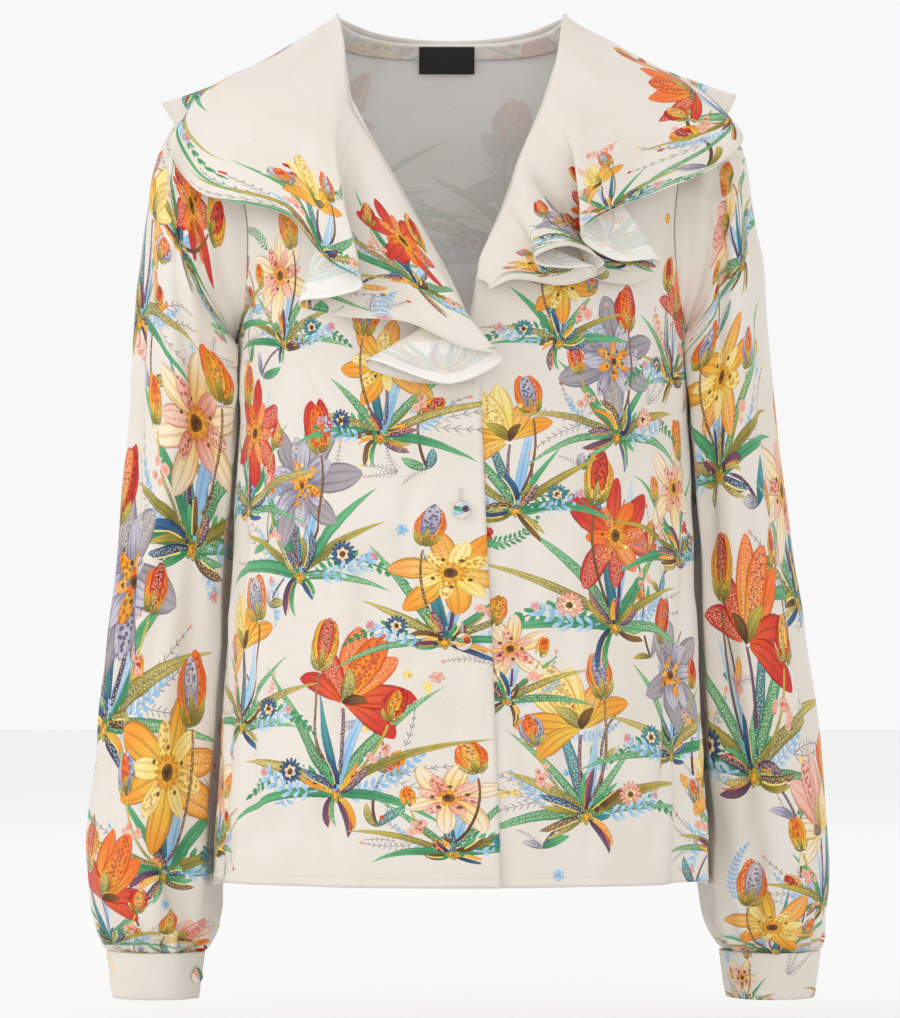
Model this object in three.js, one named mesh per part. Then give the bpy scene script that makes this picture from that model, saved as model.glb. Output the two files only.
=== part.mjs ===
// A long-sleeved V-neck blouse with a cascading flounce collar, filled out as worn.
// Millimetres, +Z up, front towards -Y, +X towards the wearer's left.
// Origin midway between the two points where the neck edge meets the shoulder seams.
import * as THREE from 'three';

// Driving dimensions
const clothWall = 1.1;
const seamGap = 0.3;
const hemZ = -607;
const shoulderTipZ = -50;
const underarmZ = -225;
const armholeInset = 24.5; // degrees that the armhole cuts in from the side, at its middle
const roundness = 0.88; // exponent of the body's rounded section
const placketLift = 2.4; // the top front lies over the under front at the button line
const neckBandHeight = 10;
const sleeveClearance = 6; // gap kept between a resting sleeve and the body's mean section
const flounceWall = 1;
const flounceStand = { seat: 0.4, root: 0.8, share: 0.8, growth: 0.6 }; // how the flounce stands clear, neck to hem
const rippleGrowth = { level: 1.8, outward: 1.25 }; // exponents by which ripples grow, neck to hem
const cuffWall = 1.6;
const cuffHeight = 33;
const cuffOverlap = 0.09; // share of a turn by which the cuff's ends lap
const buttonRadius = 5.9;
const buttonHeight = 4;
const labelSize = { width: 40, height: 19, wall: 0.8 };

// Level sections of the body from the neck down to the hem
const bodySections = [
  { z: 0, shift: 0, halfWidth: 79, front: 20, back: 50 },
  { z: -4, shift: 0, halfWidth: 84, front: 24, back: 53 },
  { z: -14, shift: 0, halfWidth: 96, front: 33, back: 61 },
  { z: -30, shift: 0, halfWidth: 124, front: 46, back: 71 },
  { z: -40, shift: 1, halfWidth: 147, front: 54, back: 76 },
  { z: -50, shift: 2, halfWidth: 168, front: 61, back: 80 },
  { z: -62, shift: 3, halfWidth: 172, front: 70, back: 85 },
  { z: -100, shift: 5, halfWidth: 168, front: 91, back: 96 },
  { z: -150, shift: 7, halfWidth: 161, front: 108, back: 104 },
  { z: -215, shift: 8, halfWidth: 158, front: 119, back: 107 },
  { z: -300, shift: 9, halfWidth: 158, front: 121, back: 105 },
  { z: -440, shift: 8, halfWidth: 165, front: 118, back: 105 },
  { z: -540, shift: 7, halfWidth: 171, front: 117, back: 107 },
  { z: -607, shift: 6.5, halfWidth: 174, front: 117, back: 109 },
];

// Soft folds of the body: where they reach the hem, half spread, rise, and where they start
const bodyFolds = [
  { at: 62, spread: 7, rise: -7, top: -250 },
  { at: 50, spread: 6, rise: 3.5, top: -330 },
  { at: 77, spread: 7, rise: 3, top: -300 },
  { at: 22, spread: 8, rise: -2, top: -420 },
  { at: -20, spread: 7, rise: 2, top: -400 },
  { at: -38, spread: 7, rise: -2.5, top: -360 },
  { at: -60, spread: 7, rise: 3, top: -300 },
  { at: -76, spread: 6, rise: -4, top: -330 },
  { at: 108, spread: 8, rise: 4, top: -260 },
  { at: 126, spread: 8, rise: -5, top: -220 },
  { at: 146, spread: 9, rise: 4, top: -200 },
  { at: 166, spread: 8, rise: -4, top: -180 },
  { at: 186, spread: 9, rise: 5, top: -170 },
  { at: 207, spread: 9, rise: -4, top: -200 },
  { at: 228, spread: 9, rise: 4.5, top: -230 },
  { at: 248, spread: 8, rise: -4, top: -260 },
];

// Neck edge, then button edge, of each front
const rightFrontEdge = [
  { z: 0, x: -79 },
  { z: -19, x: -75.5 },
  { z: -61, x: -69.3 },
  { z: -89, x: -55.3 },
  { z: -117, x: -39.2 },
  { z: -174, x: -7.7 },
  { z: -211, x: 9.8 },
  { z: -236, x: 19 },
  { z: -327, x: 22.5 },
  { z: -440, x: 28 },
  { z: -607, x: 34.3 },
];
const leftFrontEdge = [
  { z: 0, x: 79 },
  { z: -33, x: 73.5 },
  { z: -68, x: 62.3 },
  { z: -106, x: 46.2 },
  { z: -141, x: 34.3 },
  { z: -176, x: 18.9 },
  { z: -200, x: 15.6 },
  { z: -222, x: 11 },
  { z: -236, x: 6 },
  { z: -327, x: -2 },
  { z: -440, x: -1 },
  { z: -607, x: 4 },
];

// Sleeve rings from the armhole to the cuff: highest and lowest point, half depth, place in depth
const rightSleeveRings = [
  { outX: 172, outZ: -50, inX: 160, inZ: -225, halfDepth: 47, midY: 0, seam: 1 },
  { outX: 183, outZ: -59, inX: 163, inZ: -229, halfDepth: 49, midY: 0, seam: 0.6 },
  { outX: 194, outZ: -73, inX: 165, inZ: -233, halfDepth: 51, midY: 0, seam: 0.3 },
  { outX: 204, outZ: -94, inX: 161.5, inZ: -239, halfDepth: 54, midY: 1, seam: 0.1 },
  { outX: 212, outZ: -120, inX: 153, inZ: -248, halfDepth: 57, midY: 3, seam: 0 },
  { outX: 218, outZ: -155, inX: 150, inZ: -262, halfDepth: 58, midY: 8, seam: 0 },
  { outX: 223, outZ: -205, inX: 144, inZ: -284, halfDepth: 57, midY: 18, seam: 0 },
  { outX: 228, outZ: -262, inX: 141.5, inZ: -318, halfDepth: 55, midY: 28, seam: 0 },
  { outX: 233, outZ: -322, inX: 142.5, inZ: -358, halfDepth: 54, midY: 35, seam: 0 },
  { outX: 238, outZ: -384, inX: 147.5, inZ: -405, halfDepth: 53, midY: 40, seam: 0 },
  { outX: 245, outZ: -446, inX: 152.5, inZ: -456, halfDepth: 53, midY: 42, seam: 0 },
  { outX: 252, outZ: -508, inX: 156, inZ: -510, halfDepth: 54, midY: 42, seam: 0 },
  { outX: 258, outZ: -562, inX: 159, inZ: -562, halfDepth: 54, midY: 42, seam: 0 },
  { outX: 259, outZ: -604, inX: 161, inZ: -604, halfDepth: 54, midY: 42, seam: 0 },
  { outX: 255, outZ: -634, inX: 163, inZ: -634, halfDepth: 50, midY: 41, seam: 0 },
  { outX: 248, outZ: -652, inX: 170, inZ: -652, halfDepth: 41, midY: 40, seam: 0 },
  { outX: 242.5, outZ: -661, inX: 178, inZ: -661, halfDepth: 34.2, midY: 38, seam: 0 },
  { outX: 242, outZ: -667, inX: 178.4, inZ: -667, halfDepth: 33.8, midY: 38, seam: 0 },
];
const leftSleeveRings = [
  { outX: 176, outZ: -50, inX: 168, inZ: -225, halfDepth: 47, midY: 0, seam: 1 },
  { outX: 186, outZ: -58, inX: 171, inZ: -229, halfDepth: 49, midY: 0, seam: 0.6 },
  { outX: 195, outZ: -71, inX: 173, inZ: -233, halfDepth: 51, midY: 1, seam: 0.3 },
  { outX: 204, outZ: -92, inX: 170, inZ: -239, halfDepth: 54, midY: 2, seam: 0.1 },
  { outX: 211, outZ: -120, inX: 166, inZ: -248, halfDepth: 57, midY: 4, seam: 0 },
  { outX: 218, outZ: -155, inX: 164.5, inZ: -262, halfDepth: 58, midY: 9, seam: 0 },
  { outX: 224, outZ: -205, inX: 162, inZ: -284, halfDepth: 59, midY: 18, seam: 0 },
  { outX: 229, outZ: -262, inX: 160, inZ: -318, halfDepth: 58, midY: 28, seam: 0 },
  { outX: 236, outZ: -322, inX: 160.5, inZ: -358, halfDepth: 56, midY: 35, seam: 0 },
  { outX: 244, outZ: -384, inX: 163.5, inZ: -405, halfDepth: 55, midY: 41, seam: 0 },
  { outX: 254, outZ: -446, inX: 167.5, inZ: -456, halfDepth: 54, midY: 45, seam: 0 },
  { outX: 263, outZ: -508, inX: 169.5, inZ: -510, halfDepth: 54, midY: 46, seam: 0 },
  { outX: 268, outZ: -562, inX: 172, inZ: -562, halfDepth: 54, midY: 46, seam: 0 },
  { outX: 270, outZ: -604, inX: 174.5, inZ: -604, halfDepth: 54, midY: 46, seam: 0 },
  { outX: 267, outZ: -634, inX: 179, inZ: -634, halfDepth: 50, midY: 44, seam: 0 },
  { outX: 264, outZ: -652, inX: 188, inZ: -652, halfDepth: 41, midY: 42, seam: 0 },
  { outX: 260.4, outZ: -661, inX: 196, inZ: -661, halfDepth: 34.2, midY: 40, seam: 0 },
  { outX: 260, outZ: -667, inX: 196.4, inZ: -667, halfDepth: 33.8, midY: 40, seam: 0 },
];

// Gathers round the sleeve, by place along it: the head's, none, then the cuff's
const headGathers = { waves: 22, rise: 2.2, from: 0.0, to: 0.3 };
const cuffGathers = { waves: 16, rise: 2.6, from: 0.78, to: 1.0 };

// Long soft folds of the sleeves: turn (0 top, 0.25 front, 0.5 inside), spread, rise, reach
const sleeveFolds = [
  { at: 0.1, spread: 0.035, rise: -4, from: 0.1, to: 0.7 },
  { at: 0.19, spread: 0.03, rise: 2.5, from: 0.15, to: 0.6 },
  { at: 0.3, spread: 0.035, rise: -3.5, from: 0.3, to: 0.95 },
  { at: 0.4, spread: 0.03, rise: 2, from: 0.4, to: 0.9 },
  { at: 0.6, spread: 0.035, rise: -3, from: 0.35, to: 0.9 },
  { at: 0.72, spread: 0.035, rise: -4, from: 0.12, to: 0.75 },
  { at: 0.84, spread: 0.035, rise: 2.5, from: 0.2, to: 0.8 },
  { at: 0.94, spread: 0.03, rise: -3, from: 0.25, to: 0.85 },
];

// Ribs of the collar's flounce, centre back to centre front: its seam on the neck edge,
// its hem, how far the hem stands off the body, and which side of the body it is on
const rightFlounceRibs = [
  { neckX: 0, neckZ: -14, hemX: 0, hemZ: -150, off: 9, back: 1 },
  { neckX: -22, neckZ: -13, hemX: -42, hemZ: -153, off: 6, back: 1 },
  { neckX: -42, neckZ: -11, hemX: -84, hemZ: -150, off: 11, back: 1 },
  { neckX: -58, neckZ: -8, hemX: -124, hemZ: -140, off: 15, back: 1 },
  { neckX: -70, neckZ: -4, hemX: -160, hemZ: -112, off: 46, back: 1 },
  { neckX: -76, neckZ: -2, hemX: -184, hemZ: -86, off: 56, back: 1 },
  { neckX: -79, neckZ: 0, hemX: -204, hemZ: -61, off: 2, back: 0 },
  { neckX: -77, neckZ: -10, hemX: -183, hemZ: -93, off: 55, back: 0 },
  { neckX: -74, neckZ: -26, hemX: -158, hemZ: -124, off: 42, back: 0 },
  { neckX: -71, neckZ: -50, hemX: -112, hemZ: -146, off: 34, back: 0 },
  { neckX: -69.5, neckZ: -60, hemX: -84, hemZ: -178, off: 46, back: 0 },
  { neckX: -68, neckZ: -67, hemX: -61, hemZ: -192, off: 51, back: 0 },
  { neckX: -65.5, neckZ: -73, hemX: -61, hemZ: -197, off: 44, back: 0 },
  { neckX: -62, neckZ: -78, hemX: -82, hemZ: -203, off: 40, back: 0 },
  { neckX: -60, neckZ: -82, hemX: -102, hemZ: -205, off: 35, back: 0 },
  { neckX: -57.5, neckZ: -86, hemX: -103, hemZ: -208, off: 28, back: 0 },
  { neckX: -48, neckZ: -102, hemX: -72, hemZ: -216, off: 26, back: 0 },
  { neckX: -35.7, neckZ: -124, hemX: -30, hemZ: -220, off: 29, back: 0 },
  { neckX: -18.2, neckZ: -155, hemX: 8, hemZ: -237, off: 34, back: 0 },
  { neckX: -9, neckZ: -171, hemX: 34, hemZ: -243, off: 34, back: 0 },
  { neckX: -5.5, neckZ: -177, hemX: 34, hemZ: -247, off: 27, back: 0 },
  { neckX: -0.7, neckZ: -187, hemX: 0, hemZ: -262, off: 24, back: 0 },
  { neckX: 4.5, neckZ: -198, hemX: -57, hemZ: -245, off: 20, back: 0 },
  { neckX: 7.5, neckZ: -205, hemX: -57, hemZ: -250, off: 13.5, back: 0 },
  { neckX: 12, neckZ: -217, hemX: -26, hemZ: -260, off: 11, back: 0 },
  { neckX: 17, neckZ: -231, hemX: 16, hemZ: -262, off: 9.5, back: 0 },
];
const leftFlounceRibs = [
  { neckX: 0, neckZ: -14, hemX: 0, hemZ: -150, off: 9, back: 1 },
  { neckX: 22, neckZ: -13, hemX: 42, hemZ: -153, off: 13, back: 1 },
  { neckX: 42, neckZ: -11, hemX: 84, hemZ: -150, off: 8, back: 1 },
  { neckX: 58, neckZ: -8, hemX: 124, hemZ: -138, off: 14, back: 1 },
  { neckX: 70, neckZ: -4, hemX: 160, hemZ: -110, off: 46, back: 1 },
  { neckX: 76, neckZ: -2, hemX: 183, hemZ: -82, off: 56, back: 1 },
  { neckX: 79, neckZ: 0, hemX: 201, hemZ: -56, off: 2, back: 0 },
  { neckX: 77, neckZ: -12, hemX: 184, hemZ: -88, off: 55, back: 0 },
  { neckX: 75, neckZ: -26, hemX: 170, hemZ: -108, off: 48, back: 0 },
  { neckX: 71.5, neckZ: -40, hemX: 142, hemZ: -128, off: 32, back: 0 },
  { neckX: 68, neckZ: -51, hemX: 118, hemZ: -139, off: 33, back: 0 },
  { neckX: 65.5, neckZ: -58, hemX: 100, hemZ: -148, off: 38, back: 0 },
  { neckX: 64, neckZ: -62, hemX: 89, hemZ: -158, off: 39, back: 0 },
  { neckX: 62.5, neckZ: -66, hemX: 90, hemZ: -164, off: 32, back: 0 },
  { neckX: 61, neckZ: -71, hemX: 112, hemZ: -177, off: 27, back: 0 },
  { neckX: 59, neckZ: -76, hemX: 138, hemZ: -176, off: 24, back: 0 },
  { neckX: 57, neckZ: -80, hemX: 138, hemZ: -182, off: 17, back: 0 },
  { neckX: 54, neckZ: -87, hemX: 122, hemZ: -192, off: 10, back: 0 },
  { neckX: 49, neckZ: -99, hemX: 96, hemZ: -189, off: 6, back: 0 },
  { neckX: 46, neckZ: -107, hemX: 95, hemZ: -185, off: 14, back: 0 },
  { neckX: 43, neckZ: -115, hemX: 104, hemZ: -179, off: 31, back: 0 },
  { neckX: 39, neckZ: -128, hemX: 80, hemZ: -168, off: 43, back: 0 },
  { neckX: 36.5, neckZ: -134, hemX: 58, hemZ: -175, off: 43, back: 0 },
  { neckX: 35, neckZ: -139, hemX: 58, hemZ: -180, off: 36, back: 0 },
  { neckX: 33, neckZ: -144, hemX: 78, hemZ: -183, off: 32, back: 0 },
  { neckX: 30.5, neckZ: -150, hemX: 97, hemZ: -182, off: 29, back: 0 },
  { neckX: 28, neckZ: -155, hemX: 97, hemZ: -187, off: 22, back: 0 },
  { neckX: 25, neckZ: -162, hemX: 76, hemZ: -194, off: 17, back: 0 },
  { neckX: 20, neckZ: -173, hemX: 42, hemZ: -190, off: 12, back: 0 },
  { neckX: 17, neckZ: -190, hemX: 25, hemZ: -197, off: 7, back: 0 },
];

// Places of the covered buttons down the front
const frontButtons = [
  { x: 9, z: -255 },
  { x: 7.5, z: -348 },
  { x: 8.5, z: -438 },
];

const degrees = Math.PI / 180;

function smooth(value) {
  const t = Math.min(1, Math.max(0, value));
  return t * t * (3 - 2 * t);
}

function hump(offset) {
  return Math.exp(-offset * offset);
}

// Smooth curve through one column of a table, between rows k and k + 1
function splineStep(table, key, k, t) {
  const value = (i) => table[Math.min(table.length - 1, Math.max(0, i))][key];
  const [a, b, c, d] = [value(k - 1), value(k), value(k + 1), value(k + 2)];
  const bend = (2 * a - 5 * b + 4 * c - d) * t * t + (3 * b - a - 3 * c + d) * t * t * t;
  return b + 0.5 * ((c - a) * t + bend);
}

// Column of a table read at an even share (0 to 1) of its rows
function alongRows(table, key, share) {
  const place = Math.min(1, Math.max(0, share)) * (table.length - 1);
  const k = Math.min(table.length - 2, Math.floor(place));
  return splineStep(table, key, k, place - k);
}

// Column of a table read at a height, straight between rows with falling z
function atHeight(table, key, z) {
  let k = 0;
  while (k < table.length - 2 && z < table[k + 1].z) k += 1;
  const t = (z - table[k].z) / (table[k + 1].z - table[k].z);
  const clamped = Math.min(1, Math.max(0, t));
  return table[k][key] + (table[k + 1][key] - table[k][key]) * clamped;
}

// Section of the body at a height, with corners between rows rounded off
function bodySection(z) {
  const section = {};
  for (const key of ['shift', 'halfWidth', 'front', 'back']) {
    const spread = Math.min(14, 1 + Math.abs(z) * 0.2);
    const near = [-1, -0.5, 0, 0.5, 1].map((k) => atHeight(bodySections, key, z + k * spread));
    section[key] = (near[0] + 2 * near[1] + 2 * near[2] + 2 * near[3] + near[4]) / 8;
  }
  return section;
}

function roundPower(value) {
  return Math.sign(value) * Math.abs(value) ** roundness;
}

function foldRise(angle, z) {
  let rise = 0;
  for (const fold of bodyFolds) {
    const turn = fold.at > 180 ? fold.at - 360 : fold.at;
    let away = angle - turn;
    if (away > 180) away -= 360;
    if (away < -180) away += 360;
    rise += fold.rise * hump(away / fold.spread) * smooth((fold.top - z) / (fold.top - hemZ));
  }
  return rise;
}

// Point of the body's outer skin: angle in degrees from the front's middle towards +X
function bodyPoint(angle, z, lift = 0) {
  const { shift, halfWidth, front, back } = bodySection(z);
  const sideways = Math.sin(angle * degrees);
  const forward = Math.cos(angle * degrees);
  const depth = forward > 0 ? front : back;
  const rise = lift + foldRise(angle, z);
  const x = halfWidth * roundPower(sideways) + rise * sideways;
  const y = -depth * roundPower(forward) - rise * forward;
  return new THREE.Vector3(shift + x, y, z);
}

// Angle of the body's skin at a place across the front (or the back)
function bodyAngle(x, z, back = false) {
  const { shift, halfWidth } = bodySection(z);
  const share = Math.min(1, Math.abs(x - shift) / halfWidth);
  const angle = (Math.asin(share ** (1 / roundness)) / degrees) * Math.sign(x - shift);
  return back ? 180 - angle : angle;
}

// How far the armhole has cut in from the side at a height, in degrees
function armholeCut(z) {
  if (z <= underarmZ) return 0;
  const middle = (shoulderTipZ + underarmZ) / 2;
  const reach = (z - middle) / ((shoulderTipZ - underarmZ) / 2);
  return armholeInset * Math.max(0, 1 - reach * reach) ** 0.5;
}

// Outward normal of the body's skin
function bodyNormal({ angle, z, lift }) {
  const turn = bodyPoint(angle + 0.5, z, lift).sub(bodyPoint(angle - 0.5, z, lift));
  const rise = bodyPoint(angle, z + 1, lift).sub(bodyPoint(angle, z - 1, lift));
  return turn.cross(rise).normalize();
}

// Normal of any sheet, from points a little either side
function gridNormal(pointAt, u, v, around, flip) {
  const step = 1e-3;
  const u0 = around ? u - step : Math.max(0, u - step);
  const u1 = around ? u + step : Math.min(1, u + step);
  const across = pointAt(u1, v).sub(pointAt(u0, v));
  const down = pointAt(u, Math.min(1, v + step)).sub(pointAt(u, Math.max(0, v - step)));
  return across.cross(down).normalize().multiplyScalar(flip);
}

// Closed wall over a grid of points: the outer face, and the same moved in by its thickness
function wallGeometry({ columns, rows, pointAt, normalAt, wall, around = false, flip = 1 }) {
  const outer = [];
  const inner = [];
  for (let j = 0; j <= rows; j += 1) {
    for (let i = 0; i <= (around ? columns - 1 : columns); i += 1) {
      const u = i / columns;
      const v = j / rows;
      const point = pointAt(u, v);
      const normal = normalAt ? normalAt(u, v) : gridNormal(pointAt, u, v, around, flip);
      outer.push(point);
      inner.push(point.clone().addScaledVector(normal, -wall));
    }
  }
  const width = around ? columns : columns + 1;
  const count = outer.length;
  const index = [];
  const face = (a, b, c, d) => (flip > 0 ? index.push(a, b, c, a, c, d) : index.push(a, c, b, a, d, c));
  const at = (i, j) => j * width + (around ? i % columns : i);
  for (let j = 0; j < rows; j += 1) {
    for (let i = 0; i < columns; i += 1) {
      face(at(i, j), at(i + 1, j), at(i + 1, j + 1), at(i, j + 1));
      const back = [at(i, j), at(i, j + 1), at(i + 1, j + 1), at(i + 1, j)].map((k) => k + count);
      face(...back);
    }
  }
  for (let i = 0; i < columns; i += 1) {
    face(at(i + 1, 0), at(i, 0), at(i, 0) + count, at(i + 1, 0) + count);
    face(at(i, rows), at(i + 1, rows), at(i + 1, rows) + count, at(i, rows) + count);
  }
  for (let j = 0; j < rows && !around; j += 1) {
    face(at(0, j), at(0, j + 1), at(0, j + 1) + count, at(0, j) + count);
    face(at(columns, j + 1), at(columns, j), at(columns, j) + count, at(columns, j + 1) + count);
  }
  const geometry = new THREE.BufferGeometry();
  const positions = [...outer, ...inner].flatMap((p) => [p.x, p.y, p.z]);
  geometry.setAttribute('position', new THREE.Float32BufferAttribute(positions, 3));
  geometry.setIndex(index);
  geometry.computeVertexNormals();
  return geometry;
}

// One front: rows run from the neck and button edge to the armhole and side seam
function frontPlace(side, edge, share, drop) {
  const neckZ = hemZ * drop;
  const sideZ = shoulderTipZ + (hemZ - shoulderTipZ) * drop;
  const edgeX = atHeight(edge, 'x', neckZ);
  const angleGap = (seamGap / 2 / 60) / degrees;
  const edgeAngle = Math.min(90 - angleGap, Math.max(-90 + angleGap, bodyAngle(edgeX, neckZ)));
  const sideAngle = side * (90 - angleGap - armholeCut(sideZ));
  const z = neckZ + (sideZ - neckZ) * share;
  const angle = edgeAngle + (sideAngle - edgeAngle) * share;
  const overlap = side < 0 ? placketLift * smooth((angle + 16) / 14) : 0;
  return { angle, z, lift: overlap * smooth((-150 - z) / 60) };
}

// A piece cut from the body's skin, given where each of its grid points lies
function panelGeometry({ columns, rows, placeAt, flip }) {
  const pointAt = (u, v) => {
    const { angle, z, lift } = placeAt(u, v);
    return bodyPoint(angle, z, lift);
  };
  const normalAt = (u, v) => bodyNormal(placeAt(u, v));
  return wallGeometry({ columns, rows, pointAt, normalAt, wall: clothWall, flip });
}

function frontGeometry(side, edge) {
  const rowShare = (v) => (v < 0.5 ? v * 0.78 : 0.39 + (v - 0.5) * 1.22);
  const placeAt = (u, v) => frontPlace(side, edge, u, rowShare(v));
  return panelGeometry({ columns: 13, rows: 23, placeAt, flip: side < 0 ? 1 : -1 });
}

// Height of the back neck edge at an angle round the body
function backNeckZ(angle) {
  return -14 * smooth((Math.min(angle, 360 - angle) - 90) / 80);
}

// The back: columns fan out from the shoulder seams and the neck edge
function backPlace(across, drop) {
  const reach = Math.abs(across);
  const neckShare = 0.46;
  const onShoulder = Math.max(0, (reach - neckShare) / (1 - neckShare));
  const angleGap = (seamGap / 2 / 60) / degrees;
  const topAngle = 180 - (90 - angleGap) * Math.min(1, reach / neckShare);
  const topZ = onShoulder > 0 ? shoulderTipZ * onShoulder : backNeckZ(topAngle);
  const z = topZ + (hemZ - 6 - topZ) * drop;
  const lowAngle = 180 - (90 - angleGap) * reach;
  const fan = smooth(drop / 0.13);
  const edgeZ = shoulderTipZ + (hemZ - 6 - shoulderTipZ) * drop;
  const angle = topAngle + (lowAngle - topAngle) * fan + armholeCut(edgeZ) * reach ** 2;
  return { angle: across < 0 ? -angle : angle, z, lift: 0 };
}

function backGeometry() {
  const placeAt = (u, v) => backPlace(2 * u - 1, v * (0.35 + 0.65 * v));
  return panelGeometry({ columns: 26, rows: 22, placeAt, flip: 1 });
}

// Place on the armhole edge of the body, by turn: 0 the shoulder tip, 0.25 front, 0.5 underarm
function armholePoint(side, turn) {
  const middle = (shoulderTipZ + underarmZ) / 2;
  const z = middle + ((shoulderTipZ - underarmZ) / 2) * Math.cos(turn * 2 * Math.PI);
  const cut = armholeCut(z) * Math.sign(Math.sin(turn * 2 * Math.PI));
  const point = bodyPoint(side * (90 - cut), z);
  point.x += side * (seamGap + 0.5);
  return point;
}

function ringPoint(rings, side, turn, along) {
  const read = (key) => alongRows(rings, key, along);
  const angle = turn * 2 * Math.PI;
  const midX = (read('outX') + read('inX')) / 2;
  const midZ = (read('outZ') + read('inZ')) / 2;
  const reachX = ((read('outX') - read('inX')) / 2) * Math.cos(angle);
  const reachZ = ((read('outZ') - read('inZ')) / 2) * Math.cos(angle);
  const y = read('midY') - read('halfDepth') * Math.sin(angle);
  return new THREE.Vector3(side * (midX + reachX), y, midZ + reachZ);
}

function sleeveRise(turn, along) {
  const head = headGathers;
  const cuff = cuffGathers;
  const onHead = smooth((head.to - along) / 0.2) * smooth(along / 0.05);
  const overTop = smooth((Math.cos(turn * 2 * Math.PI) + 0.35) / 0.8);
  const onCuff = smooth((along - cuff.from) / 0.17) * (1 - 0.85 * smooth((along - 0.86) / 0.08));
  let rise = head.rise * Math.cos(turn * 2 * Math.PI * head.waves) * onHead * overTop;
  rise += cuff.rise * Math.cos(turn * 2 * Math.PI * cuff.waves) * onCuff;
  for (const fold of sleeveFolds) {
    const reach = smooth((along - fold.from) / 0.12) * smooth((fold.to - along) / 0.12);
    rise += fold.rise * hump((turn - fold.at) / fold.spread) * reach;
  }
  return rise;
}

function sleevePoint(rings, side, turn, along) {
  const wrapped = turn - Math.floor(turn);
  const point = ringPoint(rings, side, wrapped, along);
  const seam = alongRows(rings, 'seam', along);
  if (seam > 0) {
    const atSeam = armholePoint(side, wrapped).sub(ringPoint(rings, side, wrapped, 0));
    point.addScaledVector(atSeam, seam);
  }
  const read = (key) => alongRows(rings, key, along);
  const middle = new THREE.Vector3(side * (read('outX') + read('inX')) / 2, read('midY'), point.z);
  const outward = point.clone().sub(middle);
  outward.z = 0;
  if (outward.lengthSq() > 1) point.addScaledVector(outward.normalize(), sleeveRise(wrapped, along));
  return clearOfBody(point, sleeveClearance * (1 - seam));
}

function sleeveGeometry(rings, side) {
  const pointAt = (u, v) => sleevePoint(rings, side, u, v);
  return wallGeometry({ columns: 40, rows: 17, pointAt, wall: clothWall, around: true, flip: side });
}

// A cuff: a band whose ends lap past each other, drawn in towards the wrist
function cuffPoint({ rings, side, lapTurn }, u, v) {
  const last = rings[rings.length - 1];
  const midX = (last.outX + last.inX) / 2;
  const stand = seamGap + cuffWall + 1.6;
  const taper = 1 - 0.13 * v;
  const lap = (cuffWall + seamGap + 0.6) * smooth((u - 0.82) / 0.08);
  const angle = (lapTurn + u * (1 + cuffOverlap)) * 2 * Math.PI;
  const radiusX = ((last.outX - last.inX) / 2 + stand) * taper + lap;
  const radiusY = (last.halfDepth + stand) * taper + lap;
  const x = midX + radiusX * Math.cos(angle);
  const y = last.midY - radiusY * Math.sin(angle) - 3 * v;
  return new THREE.Vector3(side * x, y, last.outZ + 6 - cuffHeight * v);
}

function cuffGeometry(cuff) {
  const pointAt = (u, v) => cuffPoint(cuff, u, v);
  return wallGeometry({ columns: 42, rows: 2, pointAt, wall: cuffWall, flip: cuff.side });
}

// Keep a point of the flounce at least a clearance outside the body, measured level
function clearOfBody(point, clearance) {
  const z = Math.min(-1, point.z);
  const { shift, halfWidth, front, back } = bodySection(z);
  const depth = point.y < 0 ? front : back;
  const power = 2 / roundness;
  const acrossShare = Math.abs(point.x - shift) / (halfWidth + clearance);
  const depthShare = Math.abs(point.y) / (depth + clearance);
  const reach = (acrossShare ** power + depthShare ** power) ** (1 / power);
  if (reach < 1 && reach > 0.05) {
    point.x = shift + (point.x - shift) / reach;
    point.y /= reach;
  }
  return point;
}

// Point on the skin's front or back (or between, over the shoulder), stood off level
function skinPoint(x, z, off, backness) {
  const height = Math.min(-1, z);
  const ahead = bodyPoint(bodyAngle(x, height), height);
  const behind = bodyPoint(bodyAngle(x, height, true), height);
  const y = (ahead.y - off) * (1 - backness) + (behind.y + off) * backness;
  return new THREE.Vector3(x, y, z);
}

// Smooth courses of a flounce's neck seam and hem through its ribs
function flounceCourses(ribs) {
  const neck = ribs.map((rib) => skinPoint(rib.neckX, rib.neckZ, 0, rib.back));
  const hem = ribs.map((rib) => skinPoint(rib.hemX, rib.hemZ, rib.off, rib.back));
  const course = (points) => new THREE.CatmullRomCurve3(points, false, 'centripetal');
  return { ribs, neck: course(neck), hem: course(hem) };
}

// The hem's course with its ripples evened out
function evenHem({ ribs, hem }, share) {
  const even = new THREE.Vector3();
  const weights = [1, 2, 3, 4, 3, 2, 1];
  weights.forEach((weight, k) => {
    const near = share + (k - 3) / (ribs.length - 1);
    const point = hem.getPoint(Math.min(1, Math.abs(near)));
    if (near < 0) point.x *= -1;
    even.addScaledVector(point, weight / 16);
  });
  return even;
}

// The ripples are small at the neck seam and full at the hem
function flouncePoint(courses, share, drop) {
  const even = evenHem(courses, share);
  const ripple = courses.hem.getPoint(share).sub(even);
  const spread = drop ** rippleGrowth.level;
  ripple.multiply(new THREE.Vector3(spread, drop ** rippleGrowth.outward, spread));
  const point = courses.neck.getPoint(share).lerp(even, drop).add(ripple);
  const nearTop = smooth((90 + point.z) / 80);
  point.z += (1.6 + 6 * Math.sin(Math.PI * drop)) * nearTop;
  const overPlacket = placketLift * smooth((point.x + 25) / 15) * smooth((-150 - point.z) / 40);
  const seated = flounceWall + flounceStand.seat;
  const above = flounceStand.root + 3 * nearTop;
  const root = seated + above * smooth(drop / 0.15) + overPlacket;
  const off = Math.abs(alongRows(courses.ribs, 'off', share)) * (1 - nearTop);
  const stand = off * flounceStand.share * drop ** flounceStand.growth;
  return clearOfBody(point, root + stand);
}

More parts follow.
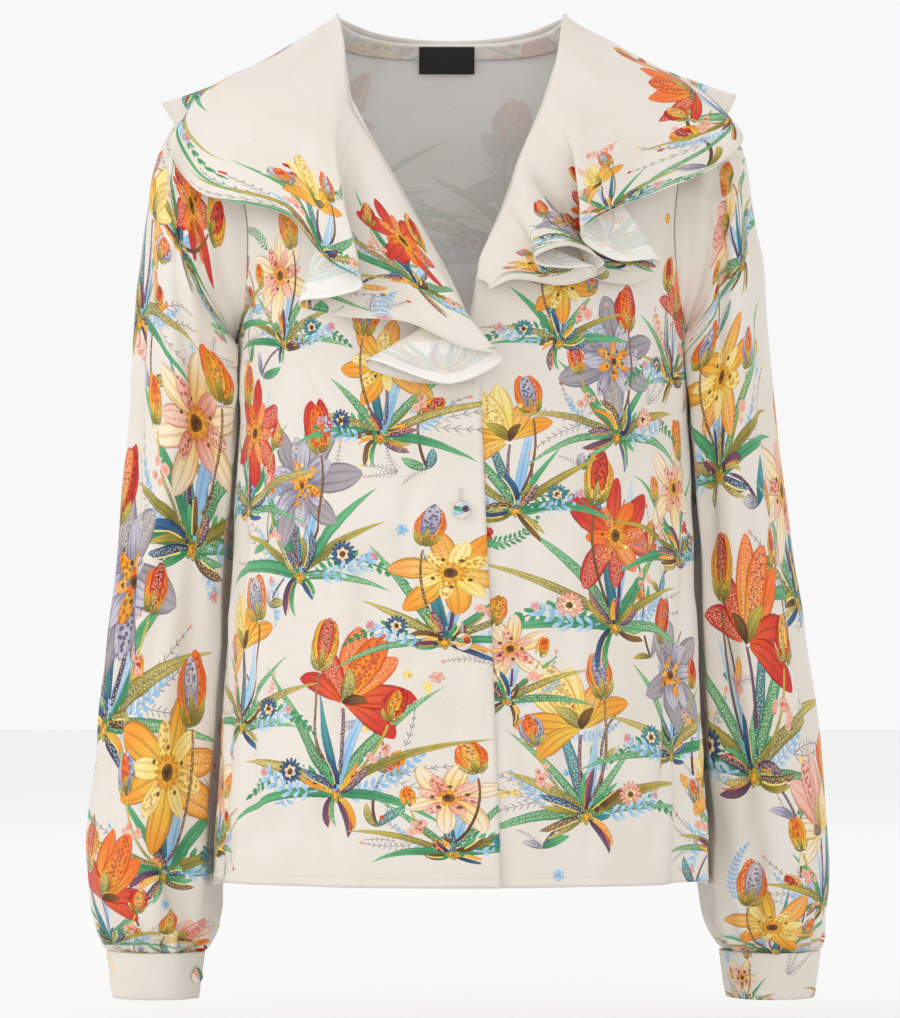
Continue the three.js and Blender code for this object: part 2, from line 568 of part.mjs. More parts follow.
function flounceGeometry(ribs, side, columns) {
  const first = 0.002;
  const courses = flounceCourses(ribs);
  const pointAt = (u, v) => flouncePoint(courses, first + (1 - first) * u, v);
  return wallGeometry({ columns, rows: 5, pointAt, wall: flounceWall, flip: side < 0 ? -1 : 1 });
}

function insideBody(angle, z, depth) {
  const normal = bodyNormal({ angle, z, lift: 0 });
  return bodyPoint(angle, z).addScaledVector(normal, -depth);
}

// Narrow binding inside the back neck edge
function neckBandPoint(u, v) {
  const angle = 94 + 172 * u;
  const turned = angle > 180 ? angle - 360 : angle;
  const z = backNeckZ(angle) - 0.5 - neckBandHeight * v;
  return insideBody(turned, z, clothWall + seamGap + 0.4);
}

function labelPoint(u, v) {
  const x = -3 + labelSize.width * (u - 0.5);
  const z = -14.5 - labelSize.height * v;
  return insideBody(bodyAngle(x, z, true), z, 2 * clothWall + 2 * seamGap + 0.8);
}

function buttonGeometry() {
  const profile = [new THREE.Vector2(0, 0), new THREE.Vector2(buttonRadius * 0.9, 0)];
  const steps = 5;
  for (let k = 0; k < steps; k += 1) {
    const angle = (k / steps) * (Math.PI / 2);
    const height = 0.9 + (buttonHeight - 0.9) * Math.sin(angle);
    profile.push(new THREE.Vector2(buttonRadius * Math.cos(angle), height));
  }
  profile.push(new THREE.Vector2(0, buttonHeight));
  return new THREE.LatheGeometry(profile, 16);
}

const cuffs = {
  right: { rings: rightSleeveRings, side: -1, lapTurn: 0.36 },
  left: { rings: leftSleeveRings, side: 1, lapTurn: 0.55 },
};
const blouse = new THREE.Group();
const printedCloth = { color: 0xe9e0d6, roughness: 0.62, metalness: 0 };
const blackWeave = { color: 0x141414, roughness: 0.85, metalness: 0 };

function addPiece(name, geometry, look) {
  const piece = new THREE.Mesh(geometry, new THREE.MeshStandardMaterial(look));
  piece.name = name;
  blouse.add(piece);
  return piece;
}

// A button seated on a surface point, its dome facing along the surface's normal
function addButton(name, seat, normal) {
  const button = addPiece(name, buttonGeometry(), printedCloth);
  const lathesAxis = new THREE.Vector3(0, 1, 0);
  button.quaternion.setFromUnitVectors(lathesAxis, normal);
  button.position.copy(seat).addScaledVector(normal, seamGap + 0.15);
}

addPiece('front_right', frontGeometry(-1, rightFrontEdge), printedCloth);
addPiece('front_left', frontGeometry(1, leftFrontEdge), printedCloth);
addPiece('back', backGeometry(), printedCloth);
addPiece('sleeve_right', sleeveGeometry(rightSleeveRings, -1), printedCloth);
addPiece('sleeve_left', sleeveGeometry(leftSleeveRings, 1), printedCloth);
addPiece('cuff_right', cuffGeometry(cuffs.right), printedCloth);
addPiece('cuff_left', cuffGeometry(cuffs.left), printedCloth);
addPiece('flounce_right', flounceGeometry(rightFlounceRibs, -1, 78), printedCloth);
addPiece('flounce_left', flounceGeometry(leftFlounceRibs, 1, 92), printedCloth);
const bandShape = { columns: 28, rows: 2, pointAt: neckBandPoint, wall: clothWall, flip: -1 };
addPiece('neck_binding', wallGeometry(bandShape), printedCloth);
const labelShape = { columns: 8, rows: 3, pointAt: labelPoint, wall: labelSize.wall, flip: 1 };
addPiece('neck_label', wallGeometry(labelShape), blackWeave);

frontButtons.forEach(({ x, z }, index) => {
  const angle = bodyAngle(x, z);
  const seat = bodyPoint(angle, z, placketLift);
  const normal = bodyPoint(angle, z, 1).sub(bodyPoint(angle, z, 0)).normalize();
  addButton(`button_${index + 1}`, seat, normal);
});

// Each cuff's button sits on its lapping end
for (const [name, cuff] of Object.entries(cuffs)) {
  const pointAt = (u, v) => cuffPoint(cuff, u, v);
  const place = 1 - (cuffOverlap * 0.5) / (1 + cuffOverlap);
  const normal = gridNormal(pointAt, place, 0.5, false, cuff.side);
  addButton(`cuff_button_${name}`, pointAt(place, 0.5), normal);
}

export default blouse;
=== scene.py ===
# A long-sleeved V-neck blouse in printed crepe, filled out as worn.
# Metres, +Z up, front towards -Y. Lengths in the tables are millimetres.
import math
import bmesh
import bpy
import numpy as np
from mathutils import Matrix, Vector


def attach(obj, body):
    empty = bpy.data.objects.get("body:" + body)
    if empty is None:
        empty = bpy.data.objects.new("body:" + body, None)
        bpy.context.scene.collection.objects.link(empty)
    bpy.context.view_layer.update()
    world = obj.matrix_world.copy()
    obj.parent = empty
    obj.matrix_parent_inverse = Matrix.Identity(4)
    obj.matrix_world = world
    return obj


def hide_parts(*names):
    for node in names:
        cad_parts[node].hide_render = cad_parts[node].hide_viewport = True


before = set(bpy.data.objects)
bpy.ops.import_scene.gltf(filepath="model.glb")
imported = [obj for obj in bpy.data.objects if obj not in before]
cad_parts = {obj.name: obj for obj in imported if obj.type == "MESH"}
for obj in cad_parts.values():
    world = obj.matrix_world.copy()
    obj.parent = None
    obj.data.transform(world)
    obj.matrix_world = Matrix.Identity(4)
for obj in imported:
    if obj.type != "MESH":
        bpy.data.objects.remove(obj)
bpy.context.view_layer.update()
print("stage: frame loaded")

# Values a user may change, one dictionary per piece
bodyLook = {"spacing": 2.9, "wall": 0.75, "creaseDepth": 2.8, "wrinkle": 1.0, "hemStitch": 7.0}
sleeveLook = {"spacing": 2.7, "wall": 0.75, "creaseDepth": 3.0, "wrinkle": 1.0}
cuffLook = {"spacing": 2.6, "wall": 1.3, "edgeStitch": 1.6, "pucker": 0.25}
flounceLook = {"spacing": 2.3, "wall": 0.6, "roll": 0.75, "wrinkle": 0.35}
bandLook = {"wall": 0.9}
labelLook = {"wall": 0.7}
buttonLook = {"radius": 5.9, "height": 4.0, "pleats": 9, "pleatDepth": 0.18}
threadLook = {"radius": 0.16, "stitch": 2.2, "gap": 0.7}
# The back's reverse is lighter than the other reverse sides: painted light, standing for light that comes
# through the thin back from behind.
clothLook = {"ground": (0.79, 0.733, 0.664), "reverse": (0.88, 0.85, 0.81), "backReverseWithPaintedLight": (0.98, 0.96, 0.94),
             "roughness": 0.62, "sheen": 0.12, "weave": 0.35, "inkDepth": 1.3}
studioLook = {"key": 26.0, "fill": 12.0, "back": 4.0, "world": 0.94, "floor": (0.93, 0.93, 0.925)}

# Heights, gaps, walls and cut sizes that the forms share (mm). The armhole is set in by armholeInset
# degrees, and under the arm the sleeve's cloth is drawn in by underarmFill.
hemZ = -607
backHemZ = hemZ - 6
shoulderTipZ = -50
underarmZ = -225
armholeInset = 24.5
roundness = 0.88
placketLift = 2.4
clothWall = 1.1
seamGap = 0.3
labelDepth = 2 * clothWall + 2 * seamGap + 0.8
underarmFill = 11
sleeveWide, sleeveLong = 300, 590
cuffHeight = 33
cuffRound, cuffFlat = 250, 255
cuffWall = 1.6
cuffOverlap = 0.09
sleeveClearance = 6
flounceDepth = 150
flounceFlat = 165
flounceStitch = 3.2
fullTurn = 2 * math.pi


def table(names, rows):
    return {key: np.array([row[k] for row in rows], float) for k, key in enumerate(names.split())}


bodySections = table("z shift halfWidth front back", [
    (0, 0, 79, 20, 50), (-4, 0, 84, 24, 53), (-14, 0, 96, 33, 61), (-30, 0, 124, 46, 71),
    (-40, 1, 147, 54, 76), (-50, 2, 168, 61, 80), (-62, 3, 172, 70, 85), (-100, 5, 168, 91, 96),
    (-150, 7, 161, 108, 104), (-215, 8, 158, 119, 107), (-300, 9, 158, 121, 105), (-440, 8, 165, 118, 105),
    (-540, 7, 171, 117, 107), (-607, 6.5, 174, 117, 109),
])
bodyFolds = table("at spread rise top", [
    (62, 7, -7, -250), (50, 6, 3.5, -330), (77, 7, 3, -300), (22, 8, -2, -420), (-20, 7, 2, -400),
    (-38, 7, -2.5, -360), (-60, 7, 3, -300), (-76, 6, -4, -330), (108, 8, 4, -260), (126, 8, -5, -220),
    (146, 9, 4, -200), (166, 8, -4, -180), (186, 9, 5, -170), (207, 9, -4, -200), (228, 9, 4.5, -230),
    (248, 8, -4, -260),
])
rightFrontEdge = table("z x", [
    (0, -79), (-19, -75.5), (-61, -69.3), (-89, -55.3), (-117, -39.2), (-174, -7.7), (-211, 9.8),
    (-236, 19), (-327, 22.5), (-440, 28), (-607, 34.3),
])
leftFrontEdge = table("z x", [
    (0, 79), (-33, 73.5), (-68, 62.3), (-106, 46.2), (-141, 34.3), (-176, 18.9), (-200, 15.6), (-222, 11),
    (-236, 6), (-327, -2), (-440, -1), (-607, 4),
])
rightSleeveRings = table("outX outZ inX inZ halfDepth midY seam", [
    (172, -50, 160, -225, 47, 0, 1), (183, -59, 163, -229, 49, 0, 0.6), (194, -73, 165, -233, 51, 0, 0.3),
    (204, -94, 161.5, -239, 54, 1, 0.1), (212, -120, 153, -248, 57, 3, 0), (218, -155, 150, -262, 58, 8, 0),
    (223, -205, 144, -284, 57, 18, 0), (228, -262, 141.5, -318, 55, 28, 0),
    (233, -322, 142.5, -358, 54, 35, 0), (238, -384, 147.5, -405, 53, 40, 0),
    (245, -446, 152.5, -456, 53, 42, 0), (252, -508, 156, -510, 54, 42, 0),
    (258, -562, 159, -562, 54, 42, 0), (259, -604, 161, -604, 54, 42, 0), (255, -634, 163, -634, 50, 41, 0),
    (248, -652, 170, -652, 41, 40, 0), (242.5, -661, 178, -661, 34.2, 38, 0),
    (242, -667, 178.4, -667, 33.8, 38, 0),
])
leftSleeveRings = table("outX outZ inX inZ halfDepth midY seam", [
    (176, -50, 168, -225, 47, 0, 1), (186, -58, 171, -229, 49, 0, 0.6), (195, -71, 173, -233, 51, 1, 0.3),
    (204, -92, 170, -239, 54, 2, 0.1), (211, -120, 166, -248, 57, 4, 0), (218, -155, 164.5, -262, 58, 9, 0),
    (224, -205, 162, -284, 59, 18, 0), (229, -262, 160, -318, 58, 28, 0),
    (236, -322, 160.5, -358, 56, 35, 0), (244, -384, 163.5, -405, 55, 41, 0),
    (254, -446, 167.5, -456, 54, 45, 0), (263, -508, 169.5, -510, 54, 46, 0),
    (268, -562, 172, -562, 54, 46, 0), (270, -604, 174.5, -604, 54, 46, 0),
    (267, -634, 179, -634, 50, 44, 0), (264, -652, 188, -652, 41, 42, 0),
    (260.4, -661, 196, -661, 34.2, 40, 0), (260, -667, 196.4, -667, 33.8, 40, 0),
])
sleeveFolds = table("at spread rise from to", [
    (0.1, 0.035, -4, 0.1, 0.7), (0.19, 0.03, 2.5, 0.15, 0.6), (0.3, 0.035, -3.5, 0.3, 0.95),
    (0.4, 0.03, 2, 0.4, 0.9), (0.6, 0.035, -3, 0.35, 0.9), (0.72, 0.035, -4, 0.12, 0.75),
    (0.84, 0.035, 2.5, 0.2, 0.8), (0.94, 0.03, -3, 0.25, 0.85),
])
rightFlounceRibs = table("neckX neckZ hemX hemZ off back", [
    (0, -14, 0, -150, 9, 1), (-22, -13, -42, -153, 6, 1), (-42, -11, -84, -150, 11, 1),
    (-58, -8, -124, -140, 15, 1), (-70, -4, -160, -112, 46, 1), (-76, -2, -184, -86, 56, 1),
    (-79, 0, -204, -61, 2, 0), (-77, -10, -183, -93, 55, 0), (-74, -26, -158, -124, 42, 0),
    (-71, -50, -112, -146, 34, 0), (-69.5, -60, -84, -178, 46, 0), (-68, -67, -61, -192, 51, 0),
    (-65.5, -73, -61, -197, 44, 0), (-62, -78, -82, -203, 40, 0), (-60, -82, -102, -205, 35, 0),
    (-57.5, -86, -103, -208, 28, 0), (-48, -102, -72, -216, 26, 0), (-35.7, -124, -30, -220, 29, 0),
    (-18.2, -155, 8, -237, 34, 0), (-9, -171, 34, -243, 34, 0), (-5.5, -177, 34, -247, 27, 0),
    (-0.7, -187, 0, -262, 24, 0), (4.5, -198, -57, -245, 20, 0), (7.5, -205, -57, -250, 13.5, 0),
    (12, -217, -26, -260, 11, 0), (17, -231, 16, -262, 9.5, 0),
])
leftFlounceRibs = table("neckX neckZ hemX hemZ off back", [
    (0, -14, 0, -150, 9, 1), (22, -13, 42, -153, 13, 1), (42, -11, 84, -150, 8, 1),
    (58, -8, 124, -138, 14, 1), (70, -4, 160, -110, 46, 1), (76, -2, 183, -82, 56, 1),
    (79, 0, 201, -56, 2, 0), (77, -12, 184, -88, 55, 0), (75, -26, 170, -108, 48, 0),
    (71.5, -40, 142, -128, 32, 0), (68, -51, 118, -139, 33, 0), (65.5, -58, 100, -148, 38, 0),
    (64, -62, 89, -158, 39, 0), (62.5, -66, 90, -164, 32, 0), (61, -71, 112, -177, 27, 0),
    (59, -76, 138, -176, 24, 0), (57, -80, 138, -182, 17, 0), (54, -87, 122, -192, 10, 0),
    (49, -99, 96, -189, 6, 0), (46, -107, 95, -185, 14, 0), (43, -115, 104, -179, 31, 0),
    (39, -128, 80, -168, 43, 0), (36.5, -134, 58, -175, 43, 0), (35, -139, 58, -180, 36, 0),
    (33, -144, 78, -183, 32, 0), (30.5, -150, 97, -182, 29, 0), (28, -155, 97, -187, 22, 0),
    (25, -162, 76, -194, 17, 0), (20, -173, 42, -190, 12, 0), (17, -190, 25, -197, 7, 0),
])
frontButtons = table("x z", [
    (9, -255), (7.5, -348), (8.5, -438),
])


def smooth(value):
    t = np.clip(value, 0.0, 1.0)
    return t * t * (3 - 2 * t)


def hump(offset):
    return np.exp(-np.square(offset))


def rowsOf(rows, names):
    return zip(*(rows[key] for key in names.split()))


def atHeight(rows, key, z):
    return np.interp(-z, -rows["z"], rows[key])


# Smooth curve through a column of a table, read at an even share of its rows
def alongRows(rows, key, share):
    values = rows[key]
    last = len(values) - 1
    place = np.clip(share, 0, 1) * last
    k = np.minimum(last - 1, np.floor(place)).astype(int)
    t = place - k
    a, b = values[np.maximum(k - 1, 0)], values[k]
    c, d = values[k + 1], values[np.minimum(k + 2, last)]
    bend = (2 * a - 5 * b + 4 * c - d) * t * t + (3 * b - a - 3 * c + d) * t ** 3
    return b + 0.5 * ((c - a) * t + bend)


def bodySection(z):
    spread = np.minimum(14, 1 + np.abs(z) * 0.2)
    section = {}
    for key in ("shift", "halfWidth", "front", "back"):
        near = [atHeight(bodySections, key, z + k * spread) for k in (-1, -0.5, 0, 0.5, 1)]
        section[key] = (near[0] + 2 * near[1] + 2 * near[2] + 2 * near[3] + near[4]) / 8
    return section


def roundPower(value):
    return np.sign(value) * np.abs(value) ** roundness


def foldRise(angle, z):
    rise = np.zeros(np.broadcast(angle, z).shape)
    for at, spread, lift, top in rowsOf(bodyFolds, "at spread rise top"):
        away = (angle - at + 180) % 360 - 180
        rise = rise + lift * hump(away / spread) * smooth((top - z) / (top - hemZ))
    return rise


# Point of the body's outer skin: angle in degrees from the front's middle towards +X
def bodyPoint(angle, z, lift=0.0):
    section = bodySection(z)
    sideways, forward = np.sin(np.radians(angle)), np.cos(np.radians(angle))
    depth = np.where(forward > 0, section["front"], section["back"])
    rise = lift + foldRise(angle, z)
    x = section["shift"] + section["halfWidth"] * roundPower(sideways) + rise * sideways
    y = -depth * roundPower(forward) - rise * forward
    return np.stack(np.broadcast_arrays(x, y, z), -1)


def bodyAngle(x, z, back=False):
    section = bodySection(z)
    share = np.minimum(1, np.abs(x - section["shift"]) / section["halfWidth"])
    angle = np.degrees(np.arcsin(share ** (1 / roundness))) * np.sign(x - section["shift"])
    return 180 - angle if back else angle


armholeMiddle, armholeReach = (shoulderTipZ + underarmZ) / 2, (shoulderTipZ - underarmZ) / 2


def armholeCut(z):
    reach = (z - armholeMiddle) / armholeReach
    cut = armholeInset * np.sqrt(np.maximum(0, 1 - reach * reach))
    return np.where(z <= underarmZ, 0, cut)


# Half a seam's gap as an angle, at the sides' radius of curvature
angleGap = math.degrees(seamGap / 2 / 60)


def frontPlace(side, edge, share, drop):
    neckZ = hemZ * drop
    sideZ = shoulderTipZ + (hemZ - shoulderTipZ) * drop
    edgeAngle = np.clip(bodyAngle(atHeight(edge, "x", neckZ), neckZ), angleGap - 90, 90 - angleGap)
    sideAngle = side * (90 - angleGap - armholeCut(sideZ))
    z = neckZ + (sideZ - neckZ) * share
    angle = edgeAngle + (sideAngle - edgeAngle) * share
    overlap = placketLift * smooth((angle + 16) / 14) if side < 0 else 0
    return angle, z, overlap * smooth((-150 - z) / 60)


def backNeckZ(angle):
    return -14 * smooth((np.minimum(angle, 360 - angle) - 90) / 80)


def backPlace(across, drop):
    reach, neckShare = np.abs(across), 0.46
    onShoulder = np.maximum(0, (reach - neckShare) / (1 - neckShare))
    topAngle = 180 - (90 - angleGap) * np.minimum(1, reach / neckShare)
    topZ = np.where(onShoulder > 0, shoulderTipZ * onShoulder, backNeckZ(topAngle))
    z = topZ + (backHemZ - topZ) * drop
    lowAngle = 180 - (90 - angleGap) * reach
    edgeZ = shoulderTipZ + (backHemZ - shoulderTipZ) * drop
    angle = topAngle + (lowAngle - topAngle) * smooth(drop / 0.13) + armholeCut(edgeZ) * reach ** 2
    return np.where(across < 0, -angle, angle), z, np.zeros_like(z)


def armholePoint(side, turn):
    z = armholeMiddle + armholeReach * np.cos(turn * fullTurn)
    cut = armholeCut(z) * np.sign(np.sin(turn * fullTurn))
    point = bodyPoint(side * (90 - cut), z)
    point[..., 0] += side * (seamGap + 0.05)
    return point


def ringPoint(rings, side, turn, along):
    read = {key: alongRows(rings, key, along) for key in rings if key != "seam"}
    cosine, sine = np.cos(turn * fullTurn), np.sin(turn * fullTurn)
    x = (read["outX"] + read["inX"]) / 2 + (read["outX"] - read["inX"]) / 2 * cosine
    z = (read["outZ"] + read["inZ"]) / 2 + (read["outZ"] - read["inZ"]) / 2 * cosine
    return np.stack([side * x, read["midY"] - read["halfDepth"] * sine, z], -1)


# Rise of a sleeve's cloth: head gathers, cuff gathers, long soft folds
def sleeveRise(turn, along, seed):
    onHead = smooth((0.3 - along) / 0.2) * smooth(along / 0.04)
    angle = turn * fullTurn
    overTop = smooth((np.cos(angle) + 0.35) / 0.8)
    onCuff = smooth((along - 0.78) / 0.17) * (1 - 0.75 * smooth((along - 0.9) / 0.06))
    drift = 0.22 * np.sin(angle * 3 + seed) + 0.12 * np.sin(angle * 7 + 2 * seed)
    rise = 2.5 * np.cos(angle * 22 + drift * 4) * onHead * overTop
    rise += 0.9 * np.cos(angle * 41 + drift * 9) * onHead * overTop * smooth((0.16 - along) / 0.14)
    rise += 3.6 * np.cos(angle * 16 + drift * 3) * onCuff
    rise += 1.4 * np.cos(angle * 37 + drift * 8) * onCuff * smooth((along - 0.84) / 0.08)
    for at, spread, lift, start, end in rowsOf(sleeveFolds, "at spread rise from to"):
        reach = smooth((along - start) / 0.12) * smooth((end - along) / 0.12)
        wander = 0.02 * np.sin(along * 9 + at * 30 + seed)
        rise += 1.6 * lift * hump((turn - at + wander) / spread) * reach
    return rise


def clearOfBody(point, clearance):
    z = np.minimum(-1, point[..., 2])
    section = bodySection(z)
    depth = np.where(point[..., 1] < 0, section["front"], section["back"])
    power = 2 / roundness
    across = np.abs(point[..., 0] - section["shift"]) / (section["halfWidth"] + clearance)
    deep = np.abs(point[..., 1]) / (depth + clearance)
    reach = (across ** power + deep ** power) ** (1 / power)
    push = np.where((reach < 1) & (reach > 0.05), reach, 1.0)
    point[..., 0] = section["shift"] + (point[..., 0] - section["shift"]) / push
    point[..., 1] = point[..., 1] / push
    return point


def sleevePoint(rings, side, turn, along, seed=0.0):
    turn = turn - np.floor(turn)
    point = ringPoint(rings, side, turn, along)
    seam = alongRows(rings, "seam", along)
    atSeam = armholePoint(side, turn) - ringPoint(rings, side, turn, np.zeros_like(along))
    point = point + atSeam * np.where(seam > 0, seam, 0)[..., None]
    middleX = side * (alongRows(rings, "outX", along) + alongRows(rings, "inX", along)) / 2
    outward = np.stack([point[..., 0] - middleX, point[..., 1] - alongRows(rings, "midY", along)], -1)
    length = np.maximum(1, np.linalg.norm(outward, axis=-1))
    rise = sleeveRise(turn, along, seed) / length
    point[..., 0] += outward[..., 0] * rise
    point[..., 1] += outward[..., 1] * rise
    below = 0.2 + 0.8 * smooth((-235 - point[..., 2]) / 110)
    under = smooth((-np.cos(turn * fullTurn) - 0.2) / 0.6)
    point[..., 0] -= side * underarmFill * under * hump((point[..., 2] + 246) / 42)
    return clearOfBody(point, sleeveClearance * (1 - seam) * below)


def cuffPoint(cuff, u, v):
    rings, side = cuff["rings"], cuff["side"]
    outX, inX = rings["outX"][-1], rings["inX"][-1]
    stand, taper = seamGap + cuffWall + 1.6, 1 - 0.13 * v
    lap = (cuffWall + seamGap + 0.6) * smooth((u - 0.82) / 0.08)
    angle = (cuff["lapTurn"] + u * (1 + cuffOverlap)) * fullTurn
    radiusX = ((outX - inX) / 2 + stand) * taper + lap
    radiusY = (rings["halfDepth"][-1] + stand) * taper + lap
    x = side * ((outX + inX) / 2 + radiusX * np.cos(angle))
    y = rings["midY"][-1] - radiusY * np.sin(angle) - 3 * v
    return np.stack(np.broadcast_arrays(x, y, rings["outZ"][-1] + 6 - cuffHeight * v), -1)


def skinPoint(x, z, off, backness):
    height = np.minimum(-1, z)
    ahead = bodyPoint(bodyAngle(x, height), height)
    behind = bodyPoint(bodyAngle(x, height, True), height)
    y = (ahead[..., 1] - off) * (1 - backness) + (behind[..., 1] + off) * backness
    return np.stack([x, y, z], -1)


# Centripetal curve through points, read at an even share of them
def curvePoint(points, share):
    last = len(points) - 1
    place = np.clip(share, 0, 1) * last
    k = np.minimum(last - 1, np.floor(place)).astype(int)
    t = (place - k)[..., None]
    longer = np.concatenate([2 * points[:1] - points[1:2], points, 2 * points[-1:] - points[-2:-1]])
    p0, p1, p2, p3 = (longer[k + i] for i in range(4))
    step = lambda a, b: np.maximum(1e-4, np.sum((a - b) ** 2, -1) ** 0.25)[..., None]
    d0, d1, d2 = step(p0, p1), step(p1, p2), step(p2, p3)
    t1 = d1 * ((p1 - p0) / d0 - (p2 - p0) / (d0 + d1) + (p2 - p1) / d1)
    t2 = d1 * ((p2 - p1) / d1 - (p3 - p1) / (d1 + d2) + (p3 - p2) / d2)
    return p1 + t1 * t + (3 * (p2 - p1) - 2 * t1 - t2) * t ** 2 + (2 * (p1 - p2) + t1 + t2) * t ** 3


def flounceCourses(ribs):
    neck = skinPoint(ribs["neckX"], ribs["neckZ"], 0, ribs["back"])
    hem = skinPoint(ribs["hemX"], ribs["hemZ"], ribs["off"], ribs["back"])
    return {"ribs": ribs, "neck": neck, "hem": hem, "count": len(neck) - 1}


def evenHem(courses, share):
    even = 0
    for k, weight in enumerate((1, 2, 3, 4, 3, 2, 1)):
        near = share + (k - 3) / courses["count"]
        point = curvePoint(courses["hem"], np.minimum(1, np.abs(near)))
        point[..., 0] *= np.where(near < 0, -1, 1)
        even = even + point * weight / 16
    return even


def flouncePoint(courses, share, drop):
    even = evenHem(courses, share)
    ripple = curvePoint(courses["hem"], share) - even
    level, outward = drop ** 1.8, drop ** 1.25
    ripple = ripple * np.stack([level, outward, level], -1)
    neck = curvePoint(courses["neck"], share)
    point = neck + (even - neck) * drop[..., None] + ripple
    nearTop = smooth((90 + point[..., 2]) / 80)
    point[..., 2] += (1.6 + 6 * np.sin(np.pi * drop)) * nearTop
    overPlacket = placketLift * smooth((point[..., 0] + 25) / 15) * smooth((-150 - point[..., 2]) / 40)
    root = 1.4 + (0.8 + 3 * nearTop) * smooth(drop / 0.15) + overPlacket
    off = np.abs(alongRows(courses["ribs"], "off", share)) * (1 - nearTop)
    return clearOfBody(point, root + off * 0.8 * drop ** 0.6)


# Unit normals of a grid of points, by its own rows and columns
def gridNormals(points, around, flip):
    if around:
        across = np.roll(points, -1, 1) - np.roll(points, 1, 1)
    else:
        across = np.gradient(points, axis=1)
    down = np.gradient(points, axis=0)
    normal = np.cross(across, down) * flip
    return normal / np.maximum(1e-9, np.linalg.norm(normal, axis=-1, keepdims=True))


# Soft irregular relief, about -1 to 1, from a place in flat cloth millimetres
def cloudy(x, y, size, seed):
    total = np.zeros(np.broadcast(x, y).shape)
    state = np.random.RandomState(seed)
    for octave in range(9):
        heading = state.uniform(0, fullTurn)
        scale = size * state.uniform(0.6, 1.7)
        wave = (x * np.cos(heading) + y * np.sin(heading)) / scale * fullTurn
        bend = np.sin((y * np.cos(heading) - x * np.sin(heading)) / (scale * 1.9) * fullTurn + octave)
        total = total + np.sin(wave + 1.3 * bend + state.uniform(0, 6))
    return total / 4


# Creases laid on a flat cloth: start, end, half width (mm), depth
def creaseRise(x, y, creases):
    rise = np.zeros(np.broadcast(x, y).shape)
    for x0, y0, x1, y1, width, depth in creases:
        length = math.hypot(x1 - x0, y1 - y0)
        ux, uy = (x1 - x0) / length, (y1 - y0) / length
        along = ((x - x0) * ux + (y - y0) * uy) / length
        aside = (y - y0) * ux - (x - x0) * uy
        aside = aside + width * 0.8 * np.sin(along * 5 + x0)
        fade = smooth(along / 0.3) * smooth((1 - along) / 0.35)
        rise = rise + depth * hump(aside / width) * fade
        rise = rise - 0.45 * depth * hump((aside - 1.9 * width) / (1.3 * width)) * fade
    return rise


def unitGrid(columns, rows):
    return np.meshgrid(np.linspace(0, 1, columns + 1), np.linspace(0, 1, rows + 1))


def linkObject(name, data):
    piece = bpy.data.objects.new(name, data)
    bpy.context.collection.objects.link(piece)
    return piece


def meshObject(name, source):
    mesh = bpy.data.meshes.new(name)
    source.to_mesh(mesh)
    source.free()
    return linkObject(name, mesh)


# Mesh from a grid of points (mm) with its flat cloth place (mm) kept as UV
def gridObject(name, points, flat, around=False, flip=1):
    rows, wide = points.shape[0] - 1, points.shape[1]
    columns = wide - (0 if around else 1)
    grid = bmesh.new()
    bmesh.ops.create_grid(grid, x_segments=columns, y_segments=rows, size=0.5)
    grid.verts.ensure_lookup_table()
    spots = np.array([v.co[:2] for v in grid.verts]) + 0.5
    i = np.rint(spots[:, 0] * columns).astype(int)
    j = np.rint((1 - spots[:, 1]) * rows).astype(int)
    for vert, a, b in zip(grid.verts, i, j):
        vert.co = Vector(points[b, a % wide] / 1000)
    cut = grid.loops.layers.uv.new("Cut")
    for face in grid.faces:
        face.smooth = True
        for loop in face.loops:
            k = loop.vert.index
            loop[cut].uv = tuple(flat[j[k], i[k]] / 1000)
    if around:
        bmesh.ops.remove_doubles(grid, verts=grid.verts, dist=1e-7)
    if flip > 0:
        bmesh.ops.reverse_faces(grid, faces=grid.faces)
    return meshObject(name, grid)


# Piece of thin cloth: the wall lies behind its outer face, and the reverse side has its own material
def clothPiece(name, points, flat, wall, materials, normal=None, around=False, flip=1, ending="_cloth"):
    piece = gridObject(name + ending, points, flat, around, flip)
    made[name] = (piece, points, normal, flat)
    for material in materials:
        piece.data.materials.append(material)
    shell = piece.modifiers.new("Wall", "SOLIDIFY")
    shell.thickness = wall / 1000
    shell.offset = -1
    shell.use_even_offset = False
    shell.material_offset = 1
    shell.material_offset_rim = 2
    shell.use_quality_normals = True


def bodyNormal(angle, z, lift=0.0):
    normal = np.cross(bodyPoint(angle + 0.5, z, lift) - bodyPoint(angle - 0.5, z, lift),
                      bodyPoint(angle, z + 1, lift) - bodyPoint(angle, z - 1, lift))
    return normal / np.linalg.norm(normal, axis=-1, keepdims=True)


def insideBody(angle, z, depth):
    return bodyPoint(angle, z) - depth * bodyNormal(angle, z)


